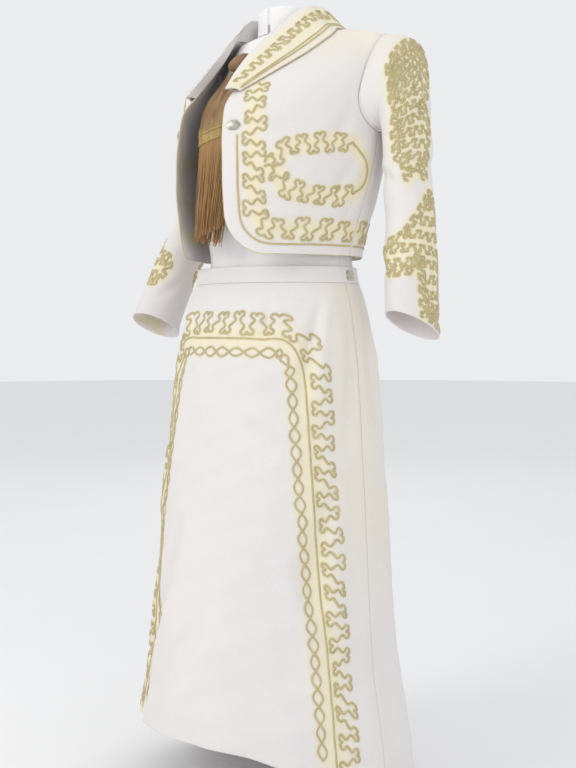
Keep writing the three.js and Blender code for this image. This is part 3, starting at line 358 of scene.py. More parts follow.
def troughs(folds, x, y):
    """Soft troughs, each with a ridge beside it: start, end, bow, half width and depth in mm."""
    total = 0
    for x0, y0, x1, y1, bow, width, depth in folds:
        run = math.hypot(x1 - x0, y1 - y0)
        wx, wy = (x1 - x0) / run, (y1 - y0) / run
        along = np.clip(((x - x0) * wx + (y - y0) * wy) / run, 0, 1)
        aside = (x - x0) * wy - (y - y0) * wx - bow * 4 * along * (1 - along)
        t = aside / (width * (.6 + .7 * along))
        shape = np.exp(-t * t) - .55 * np.exp(-((t - 1.7) / 1.1) ** 2)
        total = total - 1.4 * depth * np.sin(math.pi * along) ** .8 * shape
    return total


class Cloth:
    """A worn surface with its creases, and which way is out."""

    def __init__(self, form, turn=1, steps=(.1, .45), relief=None):
        self.form, self.turn, self.steps, self.relief = form, turn, steps, relief

    def surface(self, u, v):
        u, v = np.broadcast_arrays(np.asarray(u, float), np.asarray(v, float))
        p = self.form(u, v)
        if self.relief is None:
            return p
        out = unit(np.cross(*slopes(self.form, u, v, *self.steps))) * self.turn
        return p + out * self.relief(u, v)[..., None]

    def slopes(self, u, v):
        return slopes(self.surface, u, v, *self.steps)

    def normal(self, u, v):
        return unit(np.cross(*self.slopes(u, v))) * self.turn


def jacket_relief(angle, z):
    """Pulls from the armholes and across the chest; calm at the seams and under the collar."""
    turn = turn_to(angle, 0)
    x, y = turn * 3.5, z
    left = ((212, -232, 262, -120, 14, 12, 2.4), (232, -330, 282, -205, 10, 14, 2.6),
            (120, -200, 190, -228, -8, 16, 1.6), (150, -388, 210, -332, 12, 13, 2.0),
            (90, -96, 176, -64, -10, 15, 1.2), (262, -395, 300, -250, 8, 11, 2.2))
    right = ((-214, -226, -258, -128, -12, 12, 2.2), (-228, -342, -276, -214, -12, 13, 2.8),
             (-140, -300, -215, -270, 9, 15, 1.8), (-100, -180, -172, -212, 8, 15, 1.4))
    back = ((470, -180, 640, -205, 14, 17, 2.2), (480, -120, 560, -128, -8, 14, 1.4),
            (610, -300, 640, -395, 10, 14, 2.4), (420, -240, 400, -380, -12, 14, 2.2),
            (700, -150, 790, -186, -10, 14, 1.6), (845, -250, 860, -385, 10, 13, 2.4),
            (540, -330, 560, -400, -6, 12, 1.6))
    whole = troughs(left + right, x, y) + troughs(back, np.mod(angle, 360) * 3.5, y)
    whole = whole + .55 * wander(x, y, 1.3)
    cut = np.where(np.abs(turn) < 90, ARMHOLE_FRONT, -ARMHOLE_BACK) * armhole_share(z)
    seam = np.abs(np.abs(turn) - 90 + cut)
    calm = smooth((seam - 1.5) / 9) * smooth((-z - 30) / 60)
    collar = 1 - (1 - smooth((np.abs(turn) - 30) / 26)) * (1 - smooth((-z - 120) / 50))
    pressed = -.8 * np.exp(-(seam / 1.1) ** 2) * smooth((-z - 185) / 20)
    return (whole + 1.1) * calm * collar + pressed


def sleeve_relief(hand):
    folds = (
        (-60, 215, 50, 262, 16, 9, 3.0), (-110, 290, -10, 262, -12, 10, 3.4),
        (-150, 330, -40, 300, -10, 8, 2.4),
        (60, 330, 150, 290, 12, 10, 3.2), (20, 120, 70, 60, 10, 12, 2.6), (-150, 140, -100, 40, -10, 13, 2.8),
        (110, 130, 160, 60, 8, 12, 2.4), (-30, 400, 60, 372, 10, 11, 2.2), (90, 440, 170, 410, 8, 11, 2.4),
        (-170, 420, -90, 452, -10, 12, 2.4), (130, 215, 175, 250, 6, 9, 2.6), (-60, 490, 10, 478, 6, 11, 1.6))

    def relief(angle, v):
        turn = turn_to(angle, 0)
        x, y = turn * .96 * hand, v * 47
        total = troughs(folds, x, y) + troughs(folds, x - 346 * np.sign(x), y) + .8 * wander(x, y, 4 + hand)
        hem = -.7 * np.exp(-((v - 10.62) / .035) ** 2)
        return (total - .3) * smooth((v - .5) / 1.4) * (1 - .7 * smooth((v - 10.3) / .7)) + hem
    return relief


SKIRT_CREASES = (
    # start and end as mm round the skirt (3.5 a degree) and mm down, bow, half width, depth
    (-262, 40, -214, 232, 12, 14, 3.4), (-130, 22, -96, 190, -10, 13, 2.6), (118, 18, 96, 150, 8, 12, 2.2),
    (236, 30, 190, 250, -14, 15, 3.6), (300, 60, 262, 330, 12, 17, 3.8), (-40, 470, -170, 790, 20, 24, 4.4),
    (-250, 300, -176, 520, 18, 20, 4.0), (20, 640, -70, 850, 14, 22, 3.4), (-190, 600, -262, 800, 12, 20, 4.2),
    (250, 360, 205, 640, -16, 22, 4.2), (120, 520, 176, 830, 14, 24, 3.6), (60, 250, 150, 330, -10, 22, 1.8),
    (360, 40, 372, 300, 12, 16, 3.6), (470, 20, 440, 260, -12, 15, 3.2), (560, 24, 588, 300, 10, 16, 3.4),
    (660, 20, 640, 230, -10, 14, 3.0), (745, 30, 790, 320, 12, 16, 3.6), (860, 24, 836, 260, -12, 15, 3.2),
    (400, 420, 470, 800, 20, 24, 4.4), (560, 500, 520, 860, -16, 24, 4.2), (650, 430, 700, 790, 16, 24, 4.4),
    (800, 460, 770, 850, -18, 24, 4.2), (880, 380, 915, 700, 12, 20, 3.6))


def skirt_relief(angle, down):
    turn = np.mod(angle + 90, 360) - 90
    x, y = turn * 3.5, down * 900
    total = 1.75 * troughs(SKIRT_CREASES, x, y) + 1.6 * wander(x, y, 2.2)
    seam = np.minimum(np.abs(turn - 90), np.minimum(np.abs(turn + 90), np.abs(turn - 270)))
    pressed = -.9 * np.exp(-(seam / 1.0) ** 2)
    hem = -.8 * np.exp(-((down - .962) / .003) ** 2)
    return total * smooth(down / .05) * smooth((seam - .8) / 5) + pressed + hem


def blouse_relief(angle, z):
    turn = turn_to(angle, 0)
    x, y = turn * 3, z
    folds = ((-60, -300, -30, -420, 8, 8, 2.2), (-20, -330, -2, -422, -6, 7, 1.8),
             (44, -310, 24, -420, -8, 8, 2.2), (80, -280, 60, -415, 8, 9, 2.4),
             (-110, -250, -84, -410, 10, 10, 2.6), (150, -260, 130, -410, -8, 10, 2.2))
    calm = smooth((-z - 90) / 60) * smooth((z + 446) / 22)
    placket = .7 * smooth((14 - np.abs(x)) / 1.5)
    return (troughs(folds, x, y) - 2.2 + .4 * wander(x, y, 6)) * calm + placket * smooth((-z - 30) / 20) - .7


def tail_relief(tail):
    def relief(u, v):
        fine = .7 * np.sin(u * 23 + 3 * v + tail["wave"]) + .5 * np.sin(u * 37 - 2 * v)
        fold = troughs(((-30, 12, -8, 90, 8, 6, 2.6), (22, 10, 10, 84, -6, 5, 2.4)), u * 40, v * 104)
        return (fine + fold) * smooth(v / .12) * smooth((1.02 - v) / .12)
    return relief


JACKET = Cloth(jacket_form, relief=jacket_relief)
SLEEVES = {hand: Cloth(sleeve_form(hand), hand, (.2, .008), sleeve_relief(hand)) for hand in (1, -1)}
COLLARS = {hand: Cloth(collar_form(hand), -hand, (.002, .002)) for hand in (1, -1)}
SKIRT = Cloth(skirt_form, -1, (.1, .0006), skirt_relief)
WAIST = Cloth(waist_form, 1, (.2, .2))
BLOUSE = Cloth(blouse_form, relief=blouse_relief)
SIDES = ((1, "left"), (-1, "right"))


# ---------- lines that braid follows ----------
class Trail:
    """A line on a cloth, measured along it and sideways from it."""

    def __init__(self, cloth, points):
        self.cloth = cloth
        count = 40 * len(points)
        self.way = spline(points)(np.linspace(0, 1, count + 1))
        spots = cloth.surface(self.way[:, 0], self.way[:, 1])
        self.lengths = arcs(spots, 0)
        self.length = self.lengths[-1]
        self.run = np.gradient(self.way, axis=0)

    def spots(self, length, aside):
        pick = [np.interp(length, self.lengths, column) for column in (*self.way.T, *self.run.T)]
        u, v, run_u, run_v = pick
        along_u, along_v = self.cloth.slopes(u, v)
        size_u, size_v = (np.linalg.norm(a, axis=-1) for a in (along_u, along_v))
        run = unit(np.stack([run_u * size_u, run_v * size_v], axis=-1))
        hand = self.cloth.turn
        return u - hand * run[:, 1] * aside / size_u, v + hand * run[:, 0] * aside / size_v


FRONT_LINE = dict(top=-214, inset=26, top_inset=26, rise=16, radius=46)
FRONT_ROW = dict(top=-122, inset=53, top_inset=38, rise=40, radius=28)
CHEST_POINTS = (
    (35.5, -262), (37.5, -258), (42, -250), (47, -234), (57, -228), (67, -223),
    (75, -224), (81.5, -240), (85.5, -260), (86.5, -280), (84.5, -298), (78, -309),
    (69, -313), (54, -308), (45, -295), (42, -276), (38.5, -270), (35.5, -266))
ARCH_MIDDLE = 10
ARCH = (
    (57.8, .992), (57, .883), (55.5, .767), (53, .654), (51.5, .571), (48.5, .433),
    (46.5, .317), (45, .217), (41, .158), (34.5, .129), (21, .125))


def border_trail(hand, top, inset, top_inset, rise, radius):
    """Down beside a front edge, round the corner and along the hem."""
    base = JACKET_HEM + rise
    marks = [(mix(top_inset, inset, float(smooth(4 * share))), mix(top, base + radius, share))
             for share in (0, .25, .5, .75)]
    for turn in np.radians(np.arange(0, 91, 22.5)):
        marks.append((inset + radius * (1 - math.cos(turn)), base + radius * (1 - math.sin(turn))))
    points = [(float(angle_from_edge(hand, across, z)), z) for across, z in marks]
    return Trail(JACKET, points + [(hand * angle, base) for angle in (66, 77, 88.6)])


def back_trail(rise):
    return Trail(JACKET, [(angle, JACKET_HEM + rise) for angle in (91.4, 120, 150, 180, 210, 240, 268.6)])


def collar_trail(hand, share, end):
    return Trail(COLLARS[hand], [(share, mix(.02, end, k / 11)) for k in range(12)])


def arch_trail():
    left = [(ARCH_MIDDLE - half, down) for half, down in ARCH]
    right = [(ARCH_MIDDLE + half, down) for half, down in reversed(ARCH)]
    return Trail(SKIRT, [*left, (ARCH_MIDDLE, ARCH[-1][1]), *right])


TRAILS = {
    **{("line", hand): border_trail(hand, **FRONT_LINE) for hand in (1, -1)},
    **{("row", hand): border_trail(hand, **FRONT_ROW) for hand in (1, -1)},
    **{("chest", hand): Trail(JACKET, [(hand * angle, z) for angle, z in CHEST_POINTS]) for hand in (1, -1)},
    ("line", 0): back_trail(FRONT_LINE["rise"]),
    ("row", 0): back_trail(FRONT_ROW["rise"]),
    "arch": arch_trail(),
}


# One loop of the serpentine: a narrow neck and a head with two round lobes, as shares of the pitch
# along the row and of the reach across it. The next loop is the same one turned over.
LOOP = ((.125, .26), (.07, .48), (-.03, .66), (.01, .95), (.16, 1), (.25, .74),
        (.34, 1), (.49, .95), (.53, .66), (.43, .48), (.375, .26))


def serpentine(start, end, pitch, reach, aside=0, lean=.13, ease=None, wave=0, fine=4):
    """Lengths and sideways places of a row of forked loops that lean and vary a little."""
    waves = max(round((end - start) / pitch), 1)
    loops = np.array([(k / 2 + x, y * (1 - 2 * (k % 2))) for k in range(2 * waves) for x, y in LOOP])
    loops = np.vstack([(0, 0), loops, (waves, 0)])
    phase, across = spline(loops)(np.linspace(0, 1, fine * len(loops))).T
    phase = np.clip(phase, -.02, waves + .02)
    even = np.linspace(0, waves, len(phase))
    share = np.ones_like(even) if ease is None else ease(even / waves)
    uneven = 1 + .09 * np.sin(even * 2.1 + wave) + .07 * np.sin(even * 5.3 + wave)
    tilt = lean * (.5 + 1.2 * np.sin(even * 1.3 + wave)) * across
    length = start + (end - start) / waves * mix(even, phase + tilt, share)
    return length, aside + 1.1 * reach * share * uneven * across


FILL = dict(step=.36, top=.30, foot=.10, inset=6, narrowest=5, pitch=19, reach=6.4)
SHOULDER = dict(angle=24, start=2.2, end=6.8, reach=6.5, pitch=21, outline=(
    (20, 1), (28, .86), (44, .78), (47, .6), (38, .5), (48, .3), (46, .12), (26, .03), (0, 0)))
FOREARM = dict(angle=-10, start=7.1, end=10.8, reach=6, pitch=20, outline=(
    (34, 1), (34, .6), (56, .53), (120, .53), (132, .42), (118, .33), (76, .28), (46, .18), (16, .06), (0, 0)))


def sleeve_rim(cloth, figure):
    """The outline of a sleeve figure, down one side and up the other."""
    start, end, angle = figure["start"], figure["end"], figure["angle"]
    half = [(away, mix(start, end, share)) for away, share in figure["outline"]]
    down = [(angle - away, row) for away, row in half]
    return Trail(cloth, down + [(angle + away, row) for away, row in half[-2::-1]])


def figure_reach(figure, row):
    """Half width in degrees of a sleeve figure at a row, and less than nothing outside it."""
    shares = np.array([share for _, share in figure["outline"]][::-1])
    aways = np.array([away for away, _ in figure["outline"]][::-1], float)
    share = (row - figure["start"]) / (figure["end"] - figure["start"])
    return np.where((share < 0) | (share > 1), -20, np.interp(share, shares, aways))


def sleeve_figure(cloth, figure):
    """A figure on the sleeve: looped cord round its outline, and rows of loops that fill it."""
    rim = sleeve_rim(cloth, figure)
    loops = serpentine(0, rim.length, figure["pitch"], figure["reach"], fine=2)
    parts = [braid(rim, *loops, width=3.8, lift=.15)]
    rows = np.arange(figure["start"] + FILL["top"], figure["end"] - FILL["foot"], FILL["step"])
    for number, row in enumerate(rows):
        wide = float(figure_reach(figure, row)) - FILL["inset"]
        if wide < FILL["narrowest"]:
            continue
        trail = Trail(cloth, [(figure["angle"] + wide * f, row + .04 * math.sin(number + 3 * f))
                              for f in (-1, -.5, 0, .5, 1)])
        loops = serpentine(0, trail.length, FILL["pitch"], FILL["reach"], wave=number * 1.3, fine=2)
        parts.append(braid(trail, *loops, width=3.4, lift=.1 + .1 * (number % 2)))
    return parts


# ---------- meshes ----------
def deselect():
    bpy.ops.object.select_all(action="DESELECT")


def grid_piece(name, points, uv):
    """A grid primitive with its corners set at points, in mm, and its UV map in metres."""
    rows, columns = points.shape[0] - 1, points.shape[1] - 1
    deselect()
    bpy.ops.mesh.primitive_grid_add(x_subdivisions=columns, y_subdivisions=rows, size=1, calc_uvs=True)
    piece = bpy.context.object
    piece.name = piece.data.name = name
    mesh = piece.data
    if len(mesh.vertices) != (rows + 1) * (columns + 1):
        raise RuntimeError(f"{name}: the grid has {len(mesh.vertices)} corners")
    mesh.vertices.foreach_set("co", (points * MM).ravel())
    corner = np.empty(len(mesh.loops), int)
    mesh.loops.foreach_get("vertex_index", corner)
    mesh.uv_layers.active.data.foreach_set("uv", (uv.reshape(-1, 2) * MM)[corner].ravel())
    mesh.update()
    return piece


def edit(piece, *steps):
    """Runs edit-mode operators on the whole of a piece."""
    deselect()
    piece.select_set(True)
    bpy.context.view_layer.objects.active = piece
    bpy.ops.object.mode_set(mode="EDIT")
    bpy.ops.mesh.select_all(action="SELECT")
    for operator, settings in steps:
        operator(**settings)
    bpy.ops.object.mode_set(mode="OBJECT")


def modify(piece, kind, **settings):
    deselect()
    piece.select_set(True)
    bpy.context.view_layer.objects.active = piece
    bpy.ops.object.modifier_add(type=kind)
    modifier = piece.modifiers[-1]
    for key, value in settings.items():
        setattr(modifier, key, value)
    bpy.ops.object.modifier_apply(modifier=modifier.name)


def soften(piece, angle=50):
    deselect()
    piece.select_set(True)
    bpy.context.view_layer.objects.active = piece
    bpy.ops.object.shade_smooth_by_angle(angle=math.radians(angle))


def join(parts, name):
    deselect()
    for part in parts:
        part.select_set(True)
    bpy.context.view_layer.objects.active = parts[0]
    if len(parts) > 1:
        bpy.ops.object.join()
    piece = bpy.context.view_layer.objects.active
    piece.name = piece.data.name = name
    return piece


def hand_in(piece, slot, *nodes):
    """The piece rides on the suit and stands for its solids, which it hides; its slot is not used."""
    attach(piece, "root")
    if nodes:
        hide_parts(*nodes)
    return piece


def lay_out(cloth, ends, span, cell):
    """Rows and columns of a panel's points, about one cell apart."""
    fine = np.linspace(*ends, 1200)
    start, end = span(fine)
    lines = [cloth.form(mix(start, end, share), fine) for share in (0, .25, .5, .75, 1)]
    step = np.max([np.linalg.norm(np.diff(line, axis=0), axis=-1) for line in lines], axis=0)
    run = np.concatenate([[0], np.cumsum(step)])
    v = np.interp(np.linspace(0, run[-1], math.ceil(run[-1] / cell) + 1), run, fine)
    start, end = span(v)
    share = np.linspace(0, 1, 60)
    across = arcs(cloth.form(mix(start[:, None], end[:, None], share), v[:, None]), 1)[:, -1].max()
    share = np.linspace(0, 1, math.ceil(across / cell) + 1)
    u = mix(start[:, None], end[:, None], share)
    return u, np.broadcast_to(v[:, None], u.shape)


def cloth_piece(name, cloth, u, v, wall, finishes, closed=False, tints=None, edge=.35):
    """A panel: a grid laid on the cloth, given its wall inwards and soft edges.

    Returns the piece and its cut: width, length and area of the flat cloth, in metres.
    """
    points = cloth.surface(u, v)
    if closed:
        points[:, -1] = points[:, 0]
    across, down = arcs(points, 1), arcs(points, 0)
    middle = down[:, down.shape[1] // 2, None]
    uv = np.stack([across - across[:, -1:] / 2, np.repeat(middle, u.shape[1], 1)], -1)
    out = cloth.normal(u, v)
    faces = np.cross(points[:-1, 1:] - points[:-1, :-1], points[1:, :-1] - points[:-1, :-1])
    cells = np.linalg.norm(faces, axis=-1).sum()
    flip = (faces * out[:-1, :-1]).sum() < 0
    turned = (lambda a: a[:, ::-1]) if flip else (lambda a: a)
    piece = grid_piece(name, turned(points), turned(uv))
    for key, values in (tints or {}).items():
        layer = piece.data.attributes.new(key, "FLOAT", "POINT")
        layer.data.foreach_set("value", np.ascontiguousarray(turned(values), dtype=np.float32).ravel())
    if closed:
        edit(piece, (bpy.ops.mesh.remove_doubles, dict(threshold=1e-6)))
    for finish in finishes:
        piece.data.materials.append(finish)
    modify(piece, "SOLIDIFY", thickness=wall * MM, offset=-1, use_even_offset=True,
           material_offset=len(finishes) - 1, material_offset_rim=0)
    modify(piece, "BEVEL", width=wall * edge * MM, segments=2, limit_method="ANGLE",
           angle_limit=math.radians(65))
    soften(piece)
    cut = (across[:, -1].max() * MM, down[-1].max() * MM, cells * MM * MM)
    return piece, cut


def declare(cut):
    """Works out the area of cloth the piece was cut from, but keeps it nowhere."""
    width, length, area = cut
    area = min(max(area, .3 * width * length), width * length)


SOUTACHE = ((-1, 0), (-1.02, .5), (-.6, .96), (0, .58), (.6, .96), (1.02, .5), (1, 0))
ROUND = tuple((math.sin(a), math.cos(a)) for a in np.radians(np.arange(0, 360, 60)))


def sweep(name, centre, side, up, profile, width, height, taper=None):
    """One cord: a profile carried along its line, closed round and at both ends."""
    shape = np.array([*profile, profile[0]])
    scale = np.ones(len(centre)) if taper is None else taper
    points = (centre[:, None] + side[:, None] * (shape[:, 0] * width / 2)[None, :, None] * scale[:, None, None]
              + up[:, None] * (shape[:, 1] * height)[None, :, None] * scale[:, None, None])
    run = np.repeat(arcs(centre, 0)[:, None], len(shape), 1)
    around = np.repeat(np.linspace(0, 1, len(shape))[None], len(centre), 0)
    piece = grid_piece(name, points, np.stack([run, around / MM], -1))
    edit(piece,
         (bpy.ops.mesh.remove_doubles, dict(threshold=1e-7)),
         (bpy.ops.mesh.fill_holes, dict(sides=0)),
         (bpy.ops.mesh.normals_make_consistent, dict(inside=False)))
    return piece


def on_cloth(trail, lengths, asides, lift):
    """Centre line, sideways and upwards directions of a cord that lies on a cloth."""
    u, v = trail.spots(lengths, asides)
    up = trail.cloth.normal(u, v)
    centre = trail.cloth.surface(u, v) + up * lift
    side = unit(np.cross(up, unit(np.gradient(centre, axis=0))))
    return centre, side, up


def braid(trail, lengths, asides, width=None, lift=.1, name="braid", taper=None):
    sizes = bpy.context.scene.suit_sizes
    wide = width or sizes.braid_width / MM
    high = sizes.braid_height / MM * wide / (sizes.braid_width / MM)
    return sweep(name, *on_cloth(trail, lengths, asides, lift), SOUTACHE, wide, high, taper)


def plain_line(trail, start, end, aside=0, width=None, step=3):
    count = max(int(abs(end - start) / step), 2)
    return braid(trail, np.linspace(start, end, count), np.full(count, float(aside)), width)


def nearness(points, trails, reach):
    """1 on the lines of the braid and 0 beyond their reach."""
    flat = points.reshape(-1, 3)
    near = np.full(len(flat), 1e9)
    for trail in trails:
        spots = trail.cloth.surface(*trail.way[::4].T)
        for k in range(0, len(flat), 4000):
            gap = np.linalg.norm(flat[k:k + 4000, None] - spots[None], axis=-1).min(axis=1)
            near[k:k + 4000] = np.minimum(near[k:k + 4000], gap)
    return smooth(1 - near / reach).reshape(points.shape[:-1])


# ---------- finishes ----------
def new_finish(name):
    material = bpy.data.materials.new(name)
    material.use_nodes = True
    tree = material.node_tree
    shader = tree.nodes["Principled BSDF"]

    def node(kind, inputs=None, **settings):
        made = tree.nodes.new(kind)
        for key, value in settings.items():
            setattr(made, key, value)
        for key, value in (inputs or {}).items():
            if isinstance(value, bpy.types.NodeSocket):
                tree.links.new(value, made.inputs[key])
            else:
                made.inputs[key].default_value = value
        return made

    def link(source, target):
        tree.links.new(source, shader.inputs[target])
    return material, shader, node, link


def sums(node, operation, a, b, c=None):
    made = node("ShaderNodeMath", {0: a, 1: b, **({} if c is None else {2: c})}, operation=operation)
    return made.outputs[0]


def blend_colours(node, factor, a, b):
    made = node("ShaderNodeMix", {0: factor, 6: a, 7: b}, data_type="RGBA")
    return made.outputs[2]


def colour(values):
    return (*values[:3], 1)


def noise(node, coordinates, scale, detail=3, rough=.55):
    made = node("ShaderNodeTexNoise", {
        "Vector": coordinates, "Scale": scale, "Detail": detail, "Roughness": rough})
    return made.outputs["Fac"]


def woven_finish(name, fair, deep, warm, thread=.9, rough=.82, sheen=.25, depth=.35, mottle=.3):
    """Cloth of crossed threads, fuzzy and slightly uneven in colour, warmer beside the braid, with painted shade
    and painted warm light laid in from the piece's attributes.
    """
    material, shader, node, link = new_finish(name)
    spot = node("ShaderNodeTexCoord").outputs["Object"]
    uv = node("ShaderNodeUVMap", uv_map="UVMap").outputs["UV"]
    apart = node("ShaderNodeSeparateXYZ", {0: uv})
    turns = 2 * math.pi / (thread * MM)
    warp = sums(node, "SINE", sums(node, "MULTIPLY", apart.outputs[0], turns), 0)
    weft = sums(node, "SINE", sums(node, "MULTIPLY", apart.outputs[1], turns), 0)
    along = sums(node, "ADD", apart.outputs[0], apart.outputs[1])
    rib = sums(node, "SINE", sums(node, "MULTIPLY", along, turns / 2), 0)
    weave = sums(node, "ADD", sums(node, "MULTIPLY", warp, weft), sums(node, "MULTIPLY", rib, .8))
    fuzz = noise(node, spot, 1400, 2)
    slub = noise(node, spot, 160, 3)
    broad = noise(node, spot, 7, 3)
    tone = sums(node, "ADD", sums(node, "MULTIPLY", sums(node, "SUBTRACT", broad, .42), 1.5 * mottle),
                sums(node, "MULTIPLY", sums(node, "SUBTRACT", slub, .45), .9 * mottle))
    tone = sums(node, "ADD", tone, sums(node, "MULTIPLY", weave, .035))
    shade = node("ShaderNodeAttribute", attribute_name="shade").outputs["Fac"]
    tone = sums(node, "ADD", tone, shade)
    tone = node("ShaderNodeClamp", {0: tone}).outputs[0]
    # This attribute holds the yellower tint beside the braid together with painted warm light on the left
    # shoulder, the left sleeve's top and the skirt's left side.
    gold = node("ShaderNodeAttribute", attribute_name="gold").outputs["Fac"]
    gold = sums(node, "MULTIPLY", gold, sums(node, "ADD", slub, .35))
    plain = blend_colours(node, tone, colour(fair), colour(deep))
    link(blend_colours(node, gold, plain, colour(warm)), "Base Color")
    link(sums(node, "MULTIPLY_ADD", fuzz, .16, rough - .08), "Roughness")
    fine = node("ShaderNodeBump", {"Strength": depth, "Distance": .00022,
                                   "Height": sums(node, "MULTIPLY_ADD", weave, .5, fuzz)})
    soft = node("ShaderNodeBump", {"Strength": .22, "Distance": .0016, "Height": noise(node, spot, 42, 4),
                                   "Normal": fine.outputs[0]})
    link(soft.outputs[0], "Normal")
    shader.inputs["Sheen Weight"].default_value = sheen
    shader.inputs["Sheen Roughness"].default_value = .45
    shader.inputs["Specular IOR Level"].default_value = .3
    return material


def braid_finish(name, fair, deep, pitch=1.5, metallic=.12, rough=.5):
    """Plaited cord: slanting strands that meet in the middle, darker in the groove between them as painted
    shade.
    """
    material, shader, node, link = new_finish(name)
    spot = node("ShaderNodeTexCoord").outputs["Object"]
    uv = node("ShaderNodeUVMap", uv_map="UVMap").outputs["UV"]
    apart = node("ShaderNodeSeparateXYZ", {0: uv})
    across = sums(node, "ABSOLUTE", sums(node, "SUBTRACT", apart.outputs[1], .5), 0)
    turns, skew = 2 * math.pi / (pitch * MM), sums(node, "MULTIPLY", across, 9)
    slant = sums(node, "MULTIPLY_ADD", apart.outputs[0], turns, skew)
    strand = sums(node, "SINE", slant, 0)
    patch = noise(node, spot, 60, 3)
    tone = sums(node, "ADD", sums(node, "MULTIPLY", strand, .2), sums(node, "MULTIPLY_ADD", patch, .9, -.12))
    # Painted shade: the middle groove of the cord is darker.
    groove_shade = sums(node, "LESS_THAN", across, .09)
    tone = node("ShaderNodeClamp", {0: sums(node, "MULTIPLY_ADD", groove_shade, .4, tone)}).outputs[0]
    link(blend_colours(node, tone, colour(fair), colour(deep)), "Base Color")
    link(sums(node, "MULTIPLY_ADD", noise(node, spot, 300, 2), .2, rough - .1), "Roughness")
    lay = node("ShaderNodeBump", {"Strength": .6, "Distance": .0003, "Height": strand})
    link(lay.outputs[0], "Normal")
    shader.inputs["Metallic"].default_value = metallic
    shader.inputs["Sheen Weight"].default_value = .15
    return material


def satin_finish(name, fair, deep):
    """Satin: long smooth floats that shine along the folds."""
    material, shader, node, link = new_finish(name)
    spot = node("ShaderNodeTexCoord").outputs["Object"]
    uv = node("ShaderNodeUVMap", uv_map="UVMap").outputs["UV"]
    apart = node("ShaderNodeSeparateXYZ", {0: uv})
    float_line = sums(node, "SINE", sums(node, "MULTIPLY", apart.outputs[0], 2 * math.pi / (.5 * MM)), 0)
    broad = noise(node, spot, 26, 3)
    tone = node("ShaderNodeClamp", {0: sums(node, "MULTIPLY_ADD", broad, 1.7, -.45)}).outputs[0]
    link(blend_colours(node, tone, colour(fair), colour(deep)), "Base Color")
    link(sums(node, "MULTIPLY_ADD", noise(node, spot, 500, 2), .14, .30), "Roughness")
    lay = node("ShaderNodeBump", {"Strength": .25, "Distance": .00012, "Height": float_line})
    wave = node("ShaderNodeBump", {"Strength": .5, "Distance": .0012, "Height": noise(node, spot, 70, 3),
                                   "Normal": lay.outputs[0]})
    link(wave.outputs[0], "Normal")
    shader.inputs["Sheen Weight"].default_value = .06
    shader.inputs["Anisotropic"].default_value = .4
    return material


def fringe_finish(name, fair, deep):
    """Silk strands, each a little lighter or darker, twisted along their length."""
    material, shader, node, link = new_finish(name)
    spot = node("ShaderNodeTexCoord").outputs["Object"]
    uv = node("ShaderNodeUVMap", uv_map="UVMap").outputs["UV"]
    apart = node("ShaderNodeSeparateXYZ", {0: uv})
    strand = node("ShaderNodeAttribute", attribute_name="shade").outputs["Fac"]
    twist = sums(node, "SINE", sums(node, "MULTIPLY_ADD", apart.outputs[0], 2 * math.pi / (3 * MM),
                                    sums(node, "MULTIPLY", apart.outputs[1], 2 * math.pi)), 0)
    tone = sums(node, "ADD", sums(node, "MULTIPLY", noise(node, spot, 120, 3), .5), strand)
    tone = sums(node, "MULTIPLY_ADD", twist, .12, tone)
    link(blend_colours(node, node("ShaderNodeClamp", {0: sums(node, "SUBTRACT", tone, .2)}).outputs[0],
                       colour(fair), colour(deep)), "Base Color")
    link(sums(node, "MULTIPLY_ADD", noise(node, spot, 400, 2), .2, .38), "Roughness")
    lay = node("ShaderNodeBump", {"Strength": .5, "Distance": .0002, "Height": twist})
    link(lay.outputs[0], "Normal")
    shader.inputs["Sheen Weight"].default_value = .2
    return material


def metal_finish(name, fair, deep):
    """Old plated metal, dull in patches."""
    material, shader, node, link = new_finish(name)
    spot = node("ShaderNodeTexCoord").outputs["Object"]
    patch = noise(node, spot, 240, 4)
    tone = node("ShaderNodeClamp", {0: sums(node, "MULTIPLY_ADD", patch, 2.2, -.8)}).outputs[0]
    link(blend_colours(node, tone, colour(fair), colour(deep)), "Base Color")
    link(sums(node, "MULTIPLY_ADD", patch, .35, .18), "Roughness")
    lay = node("ShaderNodeBump", {"Strength": .3, "Distance": .0003, "Height": noise(node, spot, 700, 3)})
    link(lay.outputs[0], "Normal")
    shader.inputs["Metallic"].default_value = .95
    return material


def floor_finish(name, fair):
    material, shader, node, link = new_finish(name)
    spot = node("ShaderNodeTexCoord").outputs["Object"]
    deep = tuple(.965 * c for c in fair)
    link(blend_colours(node, noise(node, spot, 3, 3), colour(fair), colour(deep)), "Base Color")
    shader.inputs["Roughness"].default_value = .9
    return material


def finish(key):
    """The named finish, made the first time that it is asked for."""
    made = bpy.data.materials.get(key)
    if made:
        return made
    c = bpy.context.scene.suit_colours
    makers = {
        "Ivory wool": lambda n: woven_finish(n, c.ivory, c.ivory_shade, c.warm),
        "Wool wrong side": lambda n: woven_finish(n, c.inside, c.inside_shade, c.warm, rough=.7, sheen=.15),
        "White cotton": lambda n: woven_finish(n, c.cotton, c.ivory_shade, c.warm, .6, .78, .1, .25, .2),
        "Gold soutache": lambda n: braid_finish(n, c.braid, c.braid_shade),
        "Header braid": lambda n: braid_finish(n, c.header, c.fringe_shade, pitch=2.2),
        "Bronze satin": lambda n: satin_finish(n, c.satin, c.satin_shade),
        "Silk fringe": lambda n: fringe_finish(n, c.fringe, c.fringe_shade),
        "Old silver": lambda n: metal_finish(n, c.silver, c.silver_shade),
    }
    return makers[key](key)


# ---------- sizes and colours a user would change ----------
def length_property(name, words, millimetres):
    return bpy.props.FloatProperty(name=name, description=words, default=millimetres * MM, min=.0001, max=.05,
                                   precision=4, subtype="DISTANCE", unit="LENGTH")


def colour_property(name, words, default):
    return bpy.props.FloatVectorProperty(name=name, description=words, default=default, size=3, min=0, max=1,
                                         subtype="COLOR")


